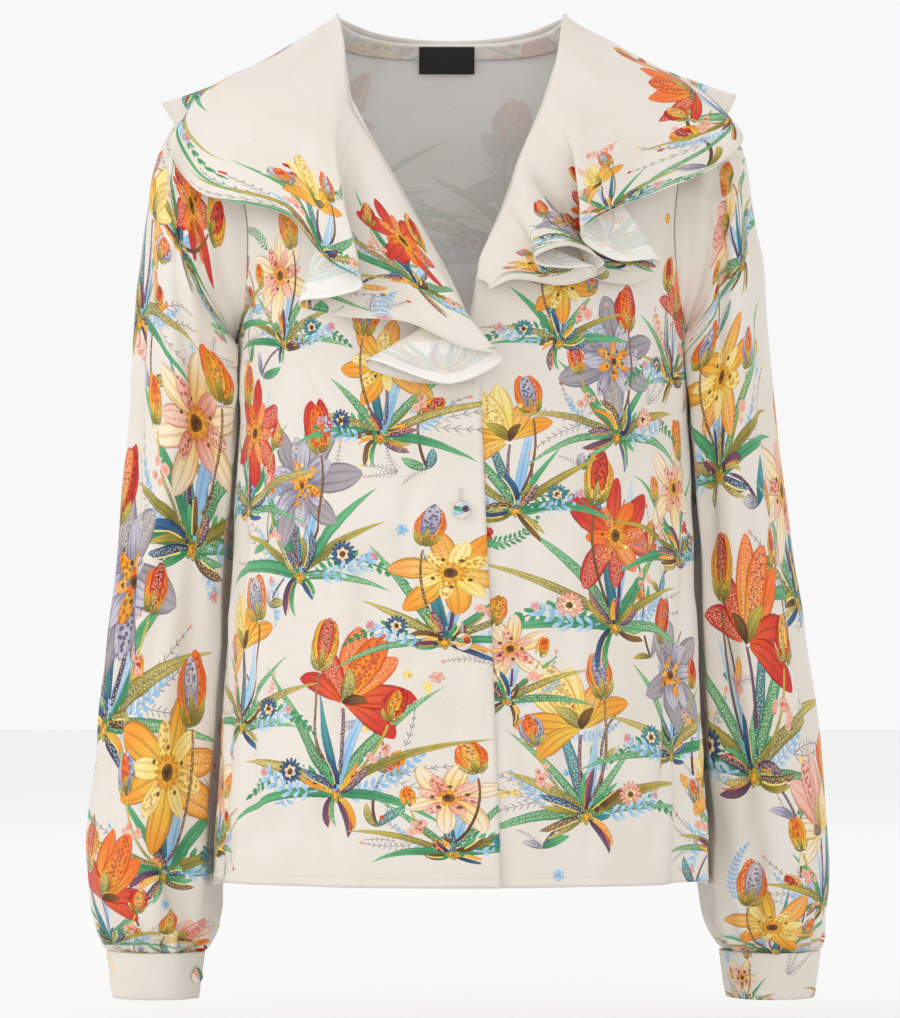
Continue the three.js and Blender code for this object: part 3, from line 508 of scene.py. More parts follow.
# Piece of the body's skin: relief is laid along the surface's normal
def bodyCloth(name, hem, place, width, flip, flatAt, creases, seed, materials):
    columns, rows = (round(size / bodyLook["spacing"]) for size in (width, 600))
    u, v = unitGrid(columns, rows)
    angle, z, lift = place(u, v)
    flatX, flatY = flatAt(angle), z + 0.0
    relief = bodyLook["wrinkle"] * cloudy(flatX, flatY, 75, seed) * (0.4 + smooth((-120 - z) / 120))
    relief = relief + 0.10 * cloudy(flatX, flatY, 16, seed + 1)
    relief = relief + bodyLook["creaseDepth"] * creaseRise(flatX, flatY, creases)
    reach = np.minimum(u, 1 - u) * columns * bodyLook["spacing"]
    relief = relief * smooth(0.25 + reach / 9)
    toHem = np.abs(flatY - hem)
    relief = relief - 0.35 * hump((toHem - bodyLook["hemStitch"]) / 1.3)
    relief = relief + 0.25 * smooth(1 - toHem / bodyLook["hemStitch"])
    normal = bodyNormal(angle, z, lift)
    highest = 1.0 + 1.8 * smooth((-330 - z) / 80) * smooth((reach - 12) / 20)
    points = bodyPoint(angle, z, lift) + normal * np.clip(relief, -3.2, highest)[..., None]
    flat = np.stack([flatX, flatY], -1)
    clothPiece(name, points, flat, bodyLook["wall"], materials, normal, flip=flip)


def frontFlat(angle):
    return angle * 2.62 + 3


def backFlat(angle):
    return (np.where(angle < 0, angle + 360, angle) - 180) * 2.55


# Creases on each piece's flat cloth: start, end, half width (mm), depth as a share of creaseDepth
frontCreases = {
    "front_right": [
        (-150, -250, -70, -430, 7, -1.6), (-120, -240, -40, -330, 6, -1.2),
        (-165, -420, -120, -600, 7, -1.5), (-60, -330, -95, -600, 8, 1.3), (-20, -300, -30, -420, 5, -1.0),
        (10, -290, 14, -600, 5, 0.6), (-185, -300, -140, -470, 8, 1.5), (-90, -470, -60, -604, 6, -1.2),
        (-200, -480, -190, -600, 6, 1.2), (5, -262, -60, -300, 5, -0.9), (4, -355, -50, -380, 5, -0.7),
        (6, -446, -60, -470, 5, -0.7),
    ],
    "front_left": [
        (150, -240, 90, -430, 7, -1.6), (110, -230, 60, -330, 6, -1.1), (60, -340, 90, -600, 8, 1.4),
        (160, -420, 128, -600, 7, -1.5), (30, -360, 44, -590, 6, -1.0), (195, -300, 150, -470, 8, 1.4),
        (195, -480, 200, -604, 6, 1.2), (100, -460, 70, -604, 6, -1.1), (40, -260, 110, -285, 5, -0.8),
    ],
}
sleeveCreases = {
    "right": [
        (40, 60, 120, 330, 8, -1.6), (95, 120, 60, 420, 8, -1.5), (150, 90, 110, 300, 8, 1.2),
        (20, 240, 60, 520, 7, -1.3), (200, 150, 230, 420, 9, -1.5), (250, 220, 215, 540, 8, 1.2),
        (80, 400, 110, 600, 6, -1.3), (130, 430, 120, 610, 6, 1.2),
    ],
    "left": [
        (50, 50, 110, 350, 8, -1.6), (110, 130, 70, 430, 8, 1.3), (150, 100, 120, 330, 8, -1.4),
        (25, 250, 50, 520, 7, 1.2), (205, 160, 235, 430, 9, -1.5), (255, 230, 225, 540, 8, 1.2),
        (75, 410, 95, 610, 6, -1.3), (125, 440, 130, 600, 6, -1.2),
    ],
}
backCreases = [
    (-120, -180, -60, -560, 9, -1.8), (-60, -160, -40, -590, 9, 1.4), (30, -170, 20, -590, 9, -1.6),
    (80, -190, 70, -590, 9, 1.4), (130, -200, 110, -560, 8, -1.6), (-170, -240, -130, -470, 8, 1.3),
    (175, -240, 150, -470, 8, 1.3), (-200, -330, -190, -600, 7, -1.3), (205, -330, 198, -600, 7, -1.2),
    (-20, -120, -90, -230, 7, -0.9), (30, -120, 100, -240, 7, -0.9),
]
cuffs = {
    "right": {"rings": rightSleeveRings, "side": -1, "lapTurn": 0.36, "foldSeed": 1.7, "sleeveSeed": 51},
    "left": {"rings": leftSleeveRings, "side": 1, "lapTurn": 0.55, "foldSeed": 4.1, "sleeveSeed": 67},
}
buttonPlaces = list(zip((1, 2, 3), frontButtons["x"], frontButtons["z"]))


made = {}


def buildBody(materials, backReverseWithPaintedLight):
    rowShare = lambda v: np.where(v < 0.5, v * 0.92, 0.46 + (v - 0.5) * 1.08)
    for name, side, edge, seed in (("front_right", -1, rightFrontEdge, 11),
                                   ("front_left", 1, leftFrontEdge, 23)):
        place = lambda u, v: frontPlace(side, edge, u, rowShare(v))
        bodyCloth(name, hemZ, place, 265, -side, frontFlat, frontCreases[name], seed, materials)
    place = lambda u, v: backPlace(2 * u - 1, v * (0.55 + 0.45 * v))
    face, _, edge = materials
    # The back's reverse side takes the lighter reverse material, with painted light coming through the cloth.
    bodyCloth("back", backHemZ, place, 470, 1, backFlat, backCreases, 37, (face, backReverseWithPaintedLight, edge))


def buildSleeves(materials):
    columns, rows = (round(size / sleeveLook["spacing"]) for size in (310, 600))
    for hand, cuff in cuffs.items():
        u, v = unitGrid(columns, rows)
        u, v = u[:, :-1], v[:, :-1]
        turn = (u + 0.5) % 1
        points = sleevePoint(cuff["rings"], cuff["side"], turn, v, cuff["foldSeed"])
        normal = gridNormals(points, True, cuff["side"])
        flatX, flatY = u * sleeveWide, -v * sleeveLong
        relief = sleeveLook["wrinkle"] * cloudy(flatX, flatY, 60, cuff["sleeveSeed"])
        creases = creaseRise(turn * sleeveWide, -flatY, sleeveCreases[hand])
        relief = relief + sleeveLook["creaseDepth"] * creases
        relief = relief * smooth(v / 0.05) * smooth((1 - v) / 0.05)
        joint = smooth(u / 0.03) * smooth((1 - u) / 0.03)
        points = points + normal * np.minimum(relief * (0.15 + 0.85 * joint), 2.0)[..., None]
        flat = np.stack([np.concatenate([flatX, np.full_like(flatX[:, :1], sleeveWide)], 1),
                         np.concatenate([flatY, flatY[:, :1]], 1)], -1)
        clothPiece("sleeve_" + hand, points, flat, sleeveLook["wall"], materials, normal, True, cuff["side"])


def buildCuffs(materials):
    columns, rows = (round(size / cuffLook["spacing"]) for size in (290, cuffHeight))
    for hand, cuff in cuffs.items():
        u, v = unitGrid(columns, rows + 5)
        points = cuffPoint(cuff, u, v)
        normal = gridNormals(points, False, cuff["side"])
        inward = np.minimum(np.minimum(v, 1 - v) * cuffHeight, np.minimum(u, 1 - u) * cuffRound)
        relief = cuffLook["pucker"] * cloudy(u * cuffRound, v * cuffHeight, 18, 5)
        relief = -0.3 * hump((inward - cuffLook["edgeStitch"]) / 0.9) + relief
        relief = relief * smooth(inward / 1.2) - 0.25 * smooth(1 - inward / 1.2)
        points = points + normal * np.minimum(relief, 0.4)[..., None]
        flat = np.stack([u * cuffFlat, -v * cuffHeight], -1)
        clothPiece("cuff_" + hand, points, flat, cuffLook["wall"], materials, normal, flip=cuff["side"])


def buildFlounces(materials):
    for hand, ribs, side, length, seed in (("right", rightFlounceRibs, -1, 640, 71),
                                           ("left", leftFlounceRibs, 1, 690, 83)):
        columns, rows = (round(size / flounceLook["spacing"]) for size in (length, flounceDepth))
        u, v = unitGrid(columns, rows)
        points = flouncePoint(flounceCourses(ribs), 0.002 + 0.998 * u, v)
        normal = gridNormals(points, False, side)
        toHem = (1 - v) * flounceDepth
        relief = flounceLook["wrinkle"] * cloudy(u * length, v * flounceDepth, 55, seed) * smooth(v / 0.2)
        relief = relief - 0.3 * hump((toHem - flounceStitch) / 1.1)
        relief = relief + flounceLook["roll"] * 0.5 * smooth(1 - toHem / 2.4)
        points = points + normal * np.clip(relief, -0.5, 0.5)[..., None]
        # The two lengths meet in a seam at the centre back
        points[..., 0] *= 0.12 + 0.88 * smooth(u * length / 10)
        flat = np.stack([u * length, -v * flounceFlat], -1)
        clothPiece("flounce_" + hand, points, flat, flounceLook["wall"], materials, normal, flip=side)


def buildNeck(materials, labelMaterials):
    u, v = unitGrid(90, 8)
    angle = 94 + 172 * u
    z = backNeckZ(angle) - 0.5 - 10 * v
    points = insideBody(np.where(angle > 180, angle - 360, angle), z, clothWall + seamGap + 0.4)
    clothPiece("neck_binding", points, np.stack([u * 190, -v * 10], -1), bandLook["wall"], materials, flip=-1)
    u, v = unitGrid(40, 20)
    x, z = -3 + 40 * (u - 0.5), -14.5 - 19 * v
    points = insideBody(bodyAngle(x, z, True), z, labelDepth)
    clothPiece("neck_label", points, np.stack([x, z], -1), labelLook["wall"], labelMaterials, ending="_tape")


# Covered button: domed cloth with fine pleats drawn in below its edge
def buildButton(name, seat, normal, material):
    dome = bmesh.new()
    rings, spokes = 14, 48
    radius, height, pleats = (buttonLook[key] for key in ("radius", "height", "pleats"))
    rimShare, rimHeight = 0.3, 0.9
    rows = []
    for j in range(rings + 1):
        t = j / rings
        if t < rimShare:
            reach, up = radius * (0.9 + 0.1 * smooth(t / rimShare)), rimHeight * t / rimShare
        else:
            turn = (t - rimShare) / (1 - rimShare) * math.pi / 2
            reach, up = radius * math.cos(turn), rimHeight + (height - rimHeight) * math.sin(turn)
        row = []
        for i in range(spokes):
            angle = i / spokes * 2 * math.pi
            pleat = buttonLook["pleatDepth"] * math.cos(angle * pleats * 2) * float(smooth((0.4 - t) / 0.4))
            reached = max(0.25, reach - abs(pleat)) / 1000
            row.append(dome.verts.new((reached * math.cos(angle), reached * math.sin(angle), up / 1000)))
        rows.append(row)
    for lower, upper in zip(rows, rows[1:]):
        for i in range(spokes):
            k = (i + 1) % spokes
            dome.faces.new((lower[i], lower[k], upper[k], upper[i]))
    for row, order in ((rows[0], -1), (rows[-1], 1)):
        for i in range(spokes // 2 - 1):
            dome.faces.new([row[i], row[i + 1], row[spokes - 2 - i], row[spokes - 1 - i]][::order])
    cut = dome.loops.layers.uv.new("Cut")
    for face in dome.faces:
        face.smooth = True
        for loop in face.loops:
            loop[cut].uv = (loop.vert.co.x + seat[2] / 1000, loop.vert.co.y)
    piece = meshObject(name + "_dome", dome)
    axis = Vector(normal).normalized()
    turn = Vector((0, 0, 1)).rotation_difference(axis)
    place = Vector(seat) / 1000 + axis * (seamGap + 0.15) / 1000
    for vert in piece.data.vertices:
        vert.co = turn @ vert.co + place
    piece.data.materials.append(material)
    made[name] = (piece,)


def buildButtons(material):
    for number, x, z in buttonPlaces:
        angle = bodyAngle(x, z)
        outward = bodyPoint(angle, z, 1) - bodyPoint(angle, z, 0)
        buildButton("button_%d" % number, bodyPoint(angle, z, placketLift), outward, material)
    for hand, cuff in cuffs.items():
        place = 1 - cuffOverlap * 0.5 / (1 + cuffOverlap)
        points = cuffPoint(cuff, *np.meshgrid([place - 1e-3, place, place + 1e-3], [0.499, 0.5, 0.501]))
        outward = gridNormals(points, False, cuff["side"])[1, 1]
        buildButton("cuff_button_" + hand, points[1, 1], outward, material)


# The print: every motif is a stamp, a ribbon along a spine or a round floret, laid on the flat cloth.
# Kinds of stamp: width profile (rise, fall), leaflets or petals, family (0 ribbon, 0.5 leaflets, 1 round),
# then veins, spots, outline
inkKinds = {
    "none": (1.0, 1.0, 1, 0.0, 0, 0, 0),
    "stem": (0.02, 0.12, 1, 0.0, 1, 0, 0.5),
    "blade": (0.42, 0.95, 1, 0.0, 5, 0, 0.7),
    "leaf": (0.75, 0.85, 1, 0.0, 7, 0, 0.8),
    "petal": (0.95, 0.7, 1, 0.0, 9, 0, 0.9),
    "spotted": (0.9, 0.6, 1, 0.0, 6, 1.0, 0.9),
    "fern": (0.5, 0.5, 13, 0.5, 1, 0, 0.3),
    "sprig": (0.5, 0.5, 9, 0.5, 1, 0, 0.1),
    "floret": (1.0, 1.0, 6, 1.0, 6, 0, 0.8),
    "aster": (1.0, 1.0, 15, 1.0, 15, 0, 0.9),
    "disc": (1.0, 1.0, 0, 1.0, 0, 1.0, 0.9),
    "dot": (1.0, 1.0, 0, 1.0, 0, 0, 0.5),
}
# Colours of a stamp from its base to its tip, and of its outline and veins
inkColors = {
    "green": ((0.06, 0.34, 0.16), (0.20, 0.55, 0.28), (0.03, 0.18, 0.11)),
    "olive": ((0.30, 0.26, 0.04), (0.62, 0.52, 0.12), (0.16, 0.13, 0.02)),
    "teal": ((0.02, 0.22, 0.26), (0.10, 0.42, 0.46), (0.01, 0.08, 0.16)),
    "sky": ((0.36, 0.58, 0.78), (0.62, 0.78, 0.88), (0.16, 0.38, 0.62)),
    "orange": ((0.86, 0.42, 0.05), (0.93, 0.25, 0.03), (0.55, 0.10, 0.01)),
    "red": ((0.85, 0.16, 0.03), (0.70, 0.04, 0.02), (0.30, 0.01, 0.01)),
    "gold": ((0.90, 0.62, 0.10), (0.92, 0.42, 0.04), (0.45, 0.20, 0.02)),
    "lilac": ((0.30, 0.30, 0.40), (0.66, 0.62, 0.68), (0.14, 0.13, 0.26)),
    "coral": ((0.86, 0.42, 0.30), (0.90, 0.62, 0.52), (0.62, 0.14, 0.10)),
    "navy": ((0.02, 0.05, 0.16), (0.06, 0.20, 0.38), (0.01, 0.01, 0.05)),
    "brown": ((0.16, 0.06, 0.02), (0.32, 0.17, 0.05), (0.07, 0.02, 0.01)),
    "plum": ((0.12, 0.04, 0.13), (0.26, 0.12, 0.20), (0.05, 0.01, 0.06)),
    "cream": ((0.93, 0.72, 0.30), (0.92, 0.82, 0.66), (0.62, 0.30, 0.06)),
    "grey": ((0.36, 0.33, 0.36), (0.48, 0.44, 0.46), (0.20, 0.18, 0.22)),
    "pink": ((0.78, 0.34, 0.36), (0.86, 0.58, 0.58), (0.50, 0.12, 0.16)),
    "yellow": ((0.92, 0.74, 0.16), (0.95, 0.82, 0.40), (0.70, 0.38, 0.04)),
}
kindNames, colorNames = list(inkKinds), list(inkColors)
inkSlots = 16
inkLayers = 3


# Spine that leaves a place at a heading (degrees) and bends as it goes
def spine(at, heading, length, bend, steps=9):
    turns = np.radians(heading + bend * (np.arange(steps) + 0.5) / steps)
    moves = np.stack([np.cos(turns), np.sin(turns)], -1) * (length / steps)
    return np.array(at) + np.concatenate([np.zeros((1, 2)), np.cumsum(moves, 0)])


def away(at, angle, reach):
    return at[0] + reach * math.cos(angle), at[1] + reach * math.sin(angle)


class Stamps:
    def __init__(self, seed):
        self.items, self.dice = [], np.random.RandomState(seed)

    def between(self, low, high):
        return self.dice.uniform(low, high)

    def vary(self, value, share):
        return value * (1 + share * self.between(-1, 1))

    def pick(self, *names):
        return names[self.dice.randint(len(names))]

    def ribbon(self, kind, color, at, heading, length, bend, width):
        line = spine(at, heading, length, bend)
        self.items.append((kind, color, line, width / 2, self.between(0.02, 0.98)))
        return line[-1], heading + bend

    def round(self, kind, color, at, radius):
        line = np.array([at, away(at, math.radians(self.between(0, 360)), 1)])
        self.items.append((kind, color, line, radius, self.between(0.02, 0.98)))

    # Open six-petalled bloom with narrower petals between, a spotted eye and stamens
    def lily(self, at, size, heading, outer, inner):
        for k in range(6):
            turn = heading + k * 60 + self.between(-9, 9)
            reach = self.vary(size, 0.16)
            self.ribbon("petal", outer, at, turn, reach, self.between(-35, 35), reach * 0.40)
        for k in range(6):
            turn = heading + 30 + k * 60 + self.between(-8, 8)
            reach = self.vary(size * 0.62, 0.15)
            kind = "spotted" if k % 2 else "petal"
            self.ribbon(kind, inner, at, turn, reach, self.between(-25, 25), reach * 0.42)
        self.round("aster", "gold" if inner != "gold" else "orange", at, size * 0.24)
        self.round("disc", "brown", at, size * 0.11)
        for k in range(5):
            turn = heading + k * 72 + self.between(-12, 12)
            self.round("dot", "brown", away(at, math.radians(turn), size * 0.3), 1.2)

    # Flower seen from its side: petals opening upward from a cup
    def tulip(self, at, size, heading, outer, inner):
        for k, turn in enumerate((-34, 34, -17, 17, 0)):
            kind = "petal" if k % 2 else "spotted"
            reach = self.vary(size * (0.86 if k < 2 else 1.0), 0.08)
            self.ribbon(kind, outer if k < 4 else inner, at, heading + turn, reach, -turn * 1.3, reach * 0.36)
        for turn in (-62, 62, 0):
            self.ribbon("leaf", "olive", at, heading + turn, size * 0.46, -turn * 0.8, size * 0.15)

    # Bloom that opens like a fan
    def fan(self, at, size, heading, outer, inner):
        for turn in (-70, -42, -14, 14, 42, 70, 0):
            reach = self.vary((50 - abs(turn) * 0.16) * size, 0.08)
            self.ribbon("petal" if turn % 4 else "spotted", outer if abs(turn) > 20 else inner, at,
                        heading + turn, reach, turn * 0.7, reach * 0.36)
        self.ribbon("leaf", "olive", at, heading, 24 * size, 40, 9 * size)
        self.ribbon("leaf", "brown", at, heading - 30, 18 * size, -60, 7 * size)

    def berries(self, at, count, spread, color):
        for k in range(count):
            angle = self.between(0, 2 * math.pi)
            spot = away(at, angle, spread * math.sqrt(self.between(0, 1)))
            self.round("dot" if k % 3 else "disc", color, spot, self.between(1.6, 3.2))

    # Twig with small leaves in pairs and a floret at its tip
    def twig(self, at, heading, length, bend, color, leaf):
        line = spine(at, heading, length, bend, 7)
        self.ribbon("stem", color, at, heading, length, bend, 1.5)
        for k in range(1, 7):
            for side in (-1, 1):
                turn = heading + bend * k / 7 + side * self.vary(48, 0.2)
                self.ribbon("leaf", color, line[k], turn, self.vary(leaf, 0.25), side * -20, leaf * 0.36)
        self.round("floret", "pink", line[-1], 3.4)

    def sprigs(self, at, heading, length):
        for k, color in enumerate(("red", "yellow", "coral")):
            reach = self.vary(length, 0.2)
            tip, _ = self.ribbon("sprig", "grey", at, heading + (k - 1) * 30, reach, self.between(-40, 40), 9)
            self.round("dot", color, tip, 1.4)

    # Leaf of two tones: a dark blade, a light one beside it and a bright rib
    def twinLeaf(self, at, heading, length, bend, width):
        dark, light = self.pick("plum", "navy", "brown"), self.pick("olive", "gold", "green", "olive")
        self.ribbon("leaf", dark, at, heading, length, bend, width)
        self.ribbon("leaf", light, at, heading + 13, length * 0.94, bend * 1.1, width * 0.62)
        rib = "orange" if dark == "plum" else "yellow"
        self.ribbon("stem", rib, at, heading + 5, length * 0.9, bend, 0.9)

    # Long wandering stem with curled leaves, buds and small florets
    def vine(self, at, heading, length, color):
        for part in range(int(length / 38)):
            bend = self.between(30, 75) * (1 if part % 2 else -1)
            ahead, nextHeading = self.ribbon("stem", color, at, heading, 38, bend, 1.9)
            for side in (-1, 1):
                tint = self.pick("green", "olive", "gold", "teal", "lilac", "sky")
                turn, reach = heading + side * self.between(30, 75), self.between(12, 24)
                self.ribbon("leaf", tint, at, turn, reach, side * self.between(-80, 60), self.between(4, 7.5))
            if part % 3 == 1:
                self.tulip(at, self.between(13, 19), heading + self.between(-50, 50), "gold", "red")
            elif part % 3 == 2:
                self.round("floret", self.pick("coral", "sky", "yellow"), at, self.between(3.5, 6))
            self.ribbon("sprig", "grey", at, heading + self.between(-90, 90), 20, 40, 7)
            at, heading = ahead, 90 + (nextHeading - 90) * 0.5

    # A clump: blades from its foot, stems that carry blooms and buds, leaves, fern and sprigs
    def clump(self, x, y, size, lean, scheme):
        outer, inner, second, third = schemes[scheme]
        self.sprigs((x + size * 30 * lean, y + 12 * size), 90 - 70 * lean, 46 * size)
        reach = self.vary(84 * size, 0.12)
        self.ribbon("fern", "green", (x, y + 6), 90 + 62 * lean, reach, 70 * lean, 23 * size)
        reach = self.vary(62 * size, 0.12)
        self.ribbon("fern", "sky", (x + 4, y), 90 - 80 * lean, reach, 46 * lean, 17 * size)
        for k, tint in enumerate(("green", "olive", "green", "sky", "teal", "green", "olive", "green")):
            out = k - 3.5
            turn, reach = 90 + out * 21 + self.between(-6, 6), self.vary(88 * size, 0.24)
            bend, width = out * self.vary(13, 0.4), self.vary(7.2 * size, 0.25)
            self.ribbon("blade", tint, (x + out * 1.6 * size, y), turn, reach, bend, width)
        head, _ = self.ribbon("stem", "plum", (x, y), 90 - 16 * lean, 62 * size, 26 * lean, 2.6 * size)
        if outer == "lilac":
            self.lily(head, 46 * size, self.between(0, 60), "grey", "lilac")
            self.lily((head[0] + 2, head[1] - 1), 27 * size, self.between(0, 60), outer, inner)
        elif self.between(0, 1) < 0.55:
            self.lily(head, 40 * size, self.between(0, 60), outer, inner)
        else:
            self.fan(head, size, 90 - 30 * lean, outer, inner)
        foot = (x, y + 8)
        tip, turn = self.ribbon("stem", "brown", foot, 90 + 34 * lean, 78 * size, -46 * lean, 2.2 * size)
        self.tulip(tip, 34 * size, turn, second, third)
        foot = (x, y + 4)
        tip, turn = self.ribbon("stem", "olive", foot, 90 - 58 * lean, 58 * size, 44 * lean, 2.0 * size)
        self.tulip(tip, 22 * size, turn, third, second)
        for k in range(5):
            turn, reach = 90 + (k - 2) * 62 + self.between(-14, 14), self.vary(27 * size, 0.3)
            self.twinLeaf((x, y + 2), turn, reach, self.between(-80, 80), 7 * size)
        self.round("floret", "olive", (x, y + 1), 5.5 * size)
        self.round("disc", "gold", (x, y + 1), 2.6 * size)
        beside = (x - 34 * size * lean, y + 16 * size)
        self.round("aster", self.pick("teal", "coral", "navy"), beside, 9.5 * size)
        self.round("floret", "cream", beside, 9.5 * size * 0.52)
        self.round("disc", "brown", beside, 9.5 * size * 0.24)
        self.berries((x + 26 * size * lean, y + 30 * size), 6, 7 * size, "coral")
        self.twig((x - 12 * lean * size, y + 4), 90 + 100 * lean, 46 * size, -50 * lean, "sky", 9 * size)


schemes = {
    "grey": ("lilac", "gold", "red", "orange"),
    "fire": ("red", "orange", "gold", "red"),
    "gold": ("gold", "yellow", "orange", "lilac"),
    "cream": ("cream", "coral", "orange", "gold"),
}
# Clumps on each piece: place on the flat cloth (mm), size, lean, scheme
layouts = {
    "front_right": [
        (-70, -545, 1.05, 1, "fire"), (-160, -500, 0.9, -1, "gold"), (-105, -395, 1.05, -1, "grey"),
        (-5, -440, 0.8, 1, "gold"), (-170, -350, 0.9, 1, "fire"), (-45, -300, 0.85, 1, "gold"),
        (-125, -235, 0.8, -1, "cream"), (-205, -225, 0.75, 1, "grey"), (-215, -590, 0.8, 1, "cream"),
        (0, -585, 0.65, -1, "cream")
    ],
    "front_left": [
        (75, -560, 1.0, -1, "gold"), (160, -520, 0.95, 1, "grey"), (100, -430, 1.05, 1, "fire"),
        (30, -350, 0.8, -1, "gold"), (175, -385, 0.85, -1, "cream"), (105, -300, 0.9, -1, "grey"),
        (175, -260, 0.75, 1, "fire"), (60, -235, 0.7, 1, "gold"), (215, -590, 0.75, -1, "gold"),
        (25, -480, 0.6, 1, "cream")
    ],
    "back": [
        (-150, -150, 0.9, 1, "gold"), (-40, -170, 1.0, -1, "grey"), (70, -140, 0.9, 1, "fire"),
        (165, -180, 0.85, -1, "cream"), (-95, -290, 1.05, 1, "fire"), (20, -310, 1.0, 1, "gold"),
        (125, -300, 1.0, -1, "grey"), (-180, -350, 0.9, -1, "grey"), (-30, -430, 1.05, -1, "cream"),
        (80, -450, 1.0, 1, "fire"), (-130, -480, 1.0, 1, "gold"), (170, -460, 0.9, 1, "gold"),
        (10, -580, 0.95, 1, "grey"), (110, -590, 0.9, -1, "cream"), (-90, -595, 0.85, -1, "fire"),
        (200, -590, 0.8, 1, "fire"), (-205, -570, 0.8, 1, "cream")
    ],
    "sleeve_right": [
        (215, -135, 0.9, -1, "fire"), (165, -215, 0.95, 1, "gold"), (235, -300, 1.0, -1, "cream"),
        (175, -380, 1.0, 1, "grey"), (235, -455, 0.95, -1, "gold"), (180, -530, 0.95, 1, "fire"),
        (245, -575, 0.8, 1, "cream"), (75, -170, 0.9, 1, "grey"), (60, -300, 0.95, -1, "fire"),
        (90, -420, 0.95, 1, "gold"), (60, -540, 0.9, -1, "cream"), (10, -360, 0.7, 1, "gold")
    ],
    "sleeve_left": [
        (205, -165, 0.75, 1, "cream"), (235, -265, 0.85, -1, "gold"), (165, -330, 0.75, 1, "cream"),
        (230, -400, 0.95, -1, "fire"), (170, -480, 0.85, 1, "cream"), (225, -560, 1.0, -1, "gold"),
        (75, -190, 0.9, 1, "gold"), (60, -330, 0.95, -1, "grey"), (90, -450, 0.95, 1, "fire"),
        (60, -560, 0.9, -1, "gold"), (10, -400, 0.7, 1, "cream")
    ],
    "flounce_right": [
        (252, -166, 0.7, -1, "gold"), (365, -150, 0.8, 1, "cream"), (442, -112, 0.85, -1, "fire"),
        (540, -150, 0.75, 1, "gold"), (60, -150, 0.8, 1, "cream"), (150, -140, 0.75, -1, "gold"),
        (600, -120, 0.6, -1, "grey")
    ],
    "flounce_left": [
        (248, -168, 0.62, 1, "gold"), (330, -150, 0.75, -1, "gold"), (400, -145, 0.85, 1, "fire"),
        (480, -140, 0.8, -1, "grey"), (560, -150, 0.7, 1, "cream"), (70, -150, 0.8, -1, "grey"),
        (165, -140, 0.75, 1, "fire"), (640, -130, 0.6, 1, "gold")
    ],
    "cuff_right": [
        (60, -40, 0.45, 1, "cream")
    ],
    "cuff_left": [
        (90, -40, 0.5, -1, "gold"), (190, -42, 0.4, 1, "cream")
    ],
    "neck_binding": [
        (50, -30, 0.5, 1, "fire"), (130, -34, 0.5, -1, "gold")
    ],
}


# Where small motifs are scattered on each piece: lower left and upper right (mm), and how many
scatterAreas = {
    "front_right": ((-235, -600), (60, -120), 26), "front_left": ((0, -600), (235, -120), 26),
    "back": ((-225, -600), (225, -60), 52),
    "sleeve_right": ((0, -580), (300, -60), 34), "sleeve_left": ((0, -580), (300, -60), 42),
    "flounce_right": ((0, -160), (640, -60), 14), "flounce_left": ((0, -160), (690, -60), 14),
    "cuff_right": ((0, -30), (250, 0), 3), "cuff_left": ((0, -30), (250, 0), 4),
    "neck_binding": ((0, -10), (190, 0), 6),
}
buttonTints = {
    "button_1": ("orange", "navy"), "button_2": ("sky", "plum"), "button_3": ("gold", "red"),
    "cuff_button_right": ("coral", "teal"), "cuff_button_left": ("olive", "gold"),
}
# Clumps larger than this have a vine beside them
vineSize = 0.72
# An empty layer has no stamp, and its place is one that no stamp reaches
emptyKind, farPlace = 0.5 / inkSlots, 9.0
# Farthest that a face reaches from its middle (mm)
faceReach = 4


# Width of a ribbon along its spine, as the shader draws it
def ribbonWidth(kind, s):
    rise, fall = inkKinds[kind][:2]
    s = np.clip(s, 1e-4, 1 - 1e-4)
    top = (rise + fall) ** (rise + fall) / (rise ** rise * fall ** fall)
    return top * s ** rise * (1 - s) ** fall


def flatCorners(mesh):
    corners = np.empty(len(mesh.loops) * 2)
    mesh.uv_layers["Cut"].data.foreach_get("uv", corners)
    return corners * 1000


# Round stamp: corners in units of its radius, which faces it touches, covers whole, and how far it fills them
def roundChart(line, half, mid, spots, margin):
    axis = (line[1] - line[0]) / half
    aside = np.array([-axis[1], axis[0]])
    chart, at = (np.stack([(p - line[0]) @ axis, (p - line[0]) @ aside], -1) for p in (spots, mid))
    reach = np.linalg.norm(chart, axis=-1)
    hit = np.linalg.norm(at, axis=-1) < 1 + margin
    return chart, hit, reach.max(1) < 0.62, (reach < 0.8).mean(1)


# Ribbon or fern: corners as a share of its length and in half widths to the side
def ribbonChart(kind, line, half, mid, spots, margin):
    step = np.diff(line, axis=0)
    size = np.linalg.norm(step, axis=1)
    ahead = step / size[:, None]
    start = np.concatenate([[0], np.cumsum(size)[:-1]])
    total = size.sum()
    rel = mid[:, None] - line[None, :-1]
    reach = np.clip((rel * ahead).sum(-1), 0, size)
    k = np.linalg.norm(rel - reach[..., None] * ahead, axis=-1).argmin(1)
    forward = ahead[k][:, None]
    aside = np.stack([-forward[..., 1], forward[..., 0]], -1)
    chart, at = (
        np.stack([(start[k][:, None] + (p * forward).sum(-1)) / total, (p * aside).sum(-1) / half], -1)
        for p in (spots - line[k][:, None], (mid - line[k])[:, None]))
    along, across, slack = at[:, 0, 0], np.abs(at[:, 0, 1]), margin * half / total
    isRibbon = inkKinds[kind][3] == 0
    wide = ribbonWidth(kind, along) if isRibbon else 1.0
    hit = (across < wide + margin) & (along > -slack) & (along < 1 + slack)
    if not isRibbon:
        return chart, hit, np.zeros(len(mid), bool), np.full(len(mid), 0.2)
    edge = ribbonWidth(kind, chart[..., 0])
    covers = np.all(np.abs(chart[..., 1]) < edge * 0.9 - 0.08, axis=1)
    covers &= (chart[..., 0].min(1) > 0.01) & (chart[..., 0].max(1) < 0.99)
    return chart, hit, covers, (np.abs(chart[..., 1]) < edge).mean(1)


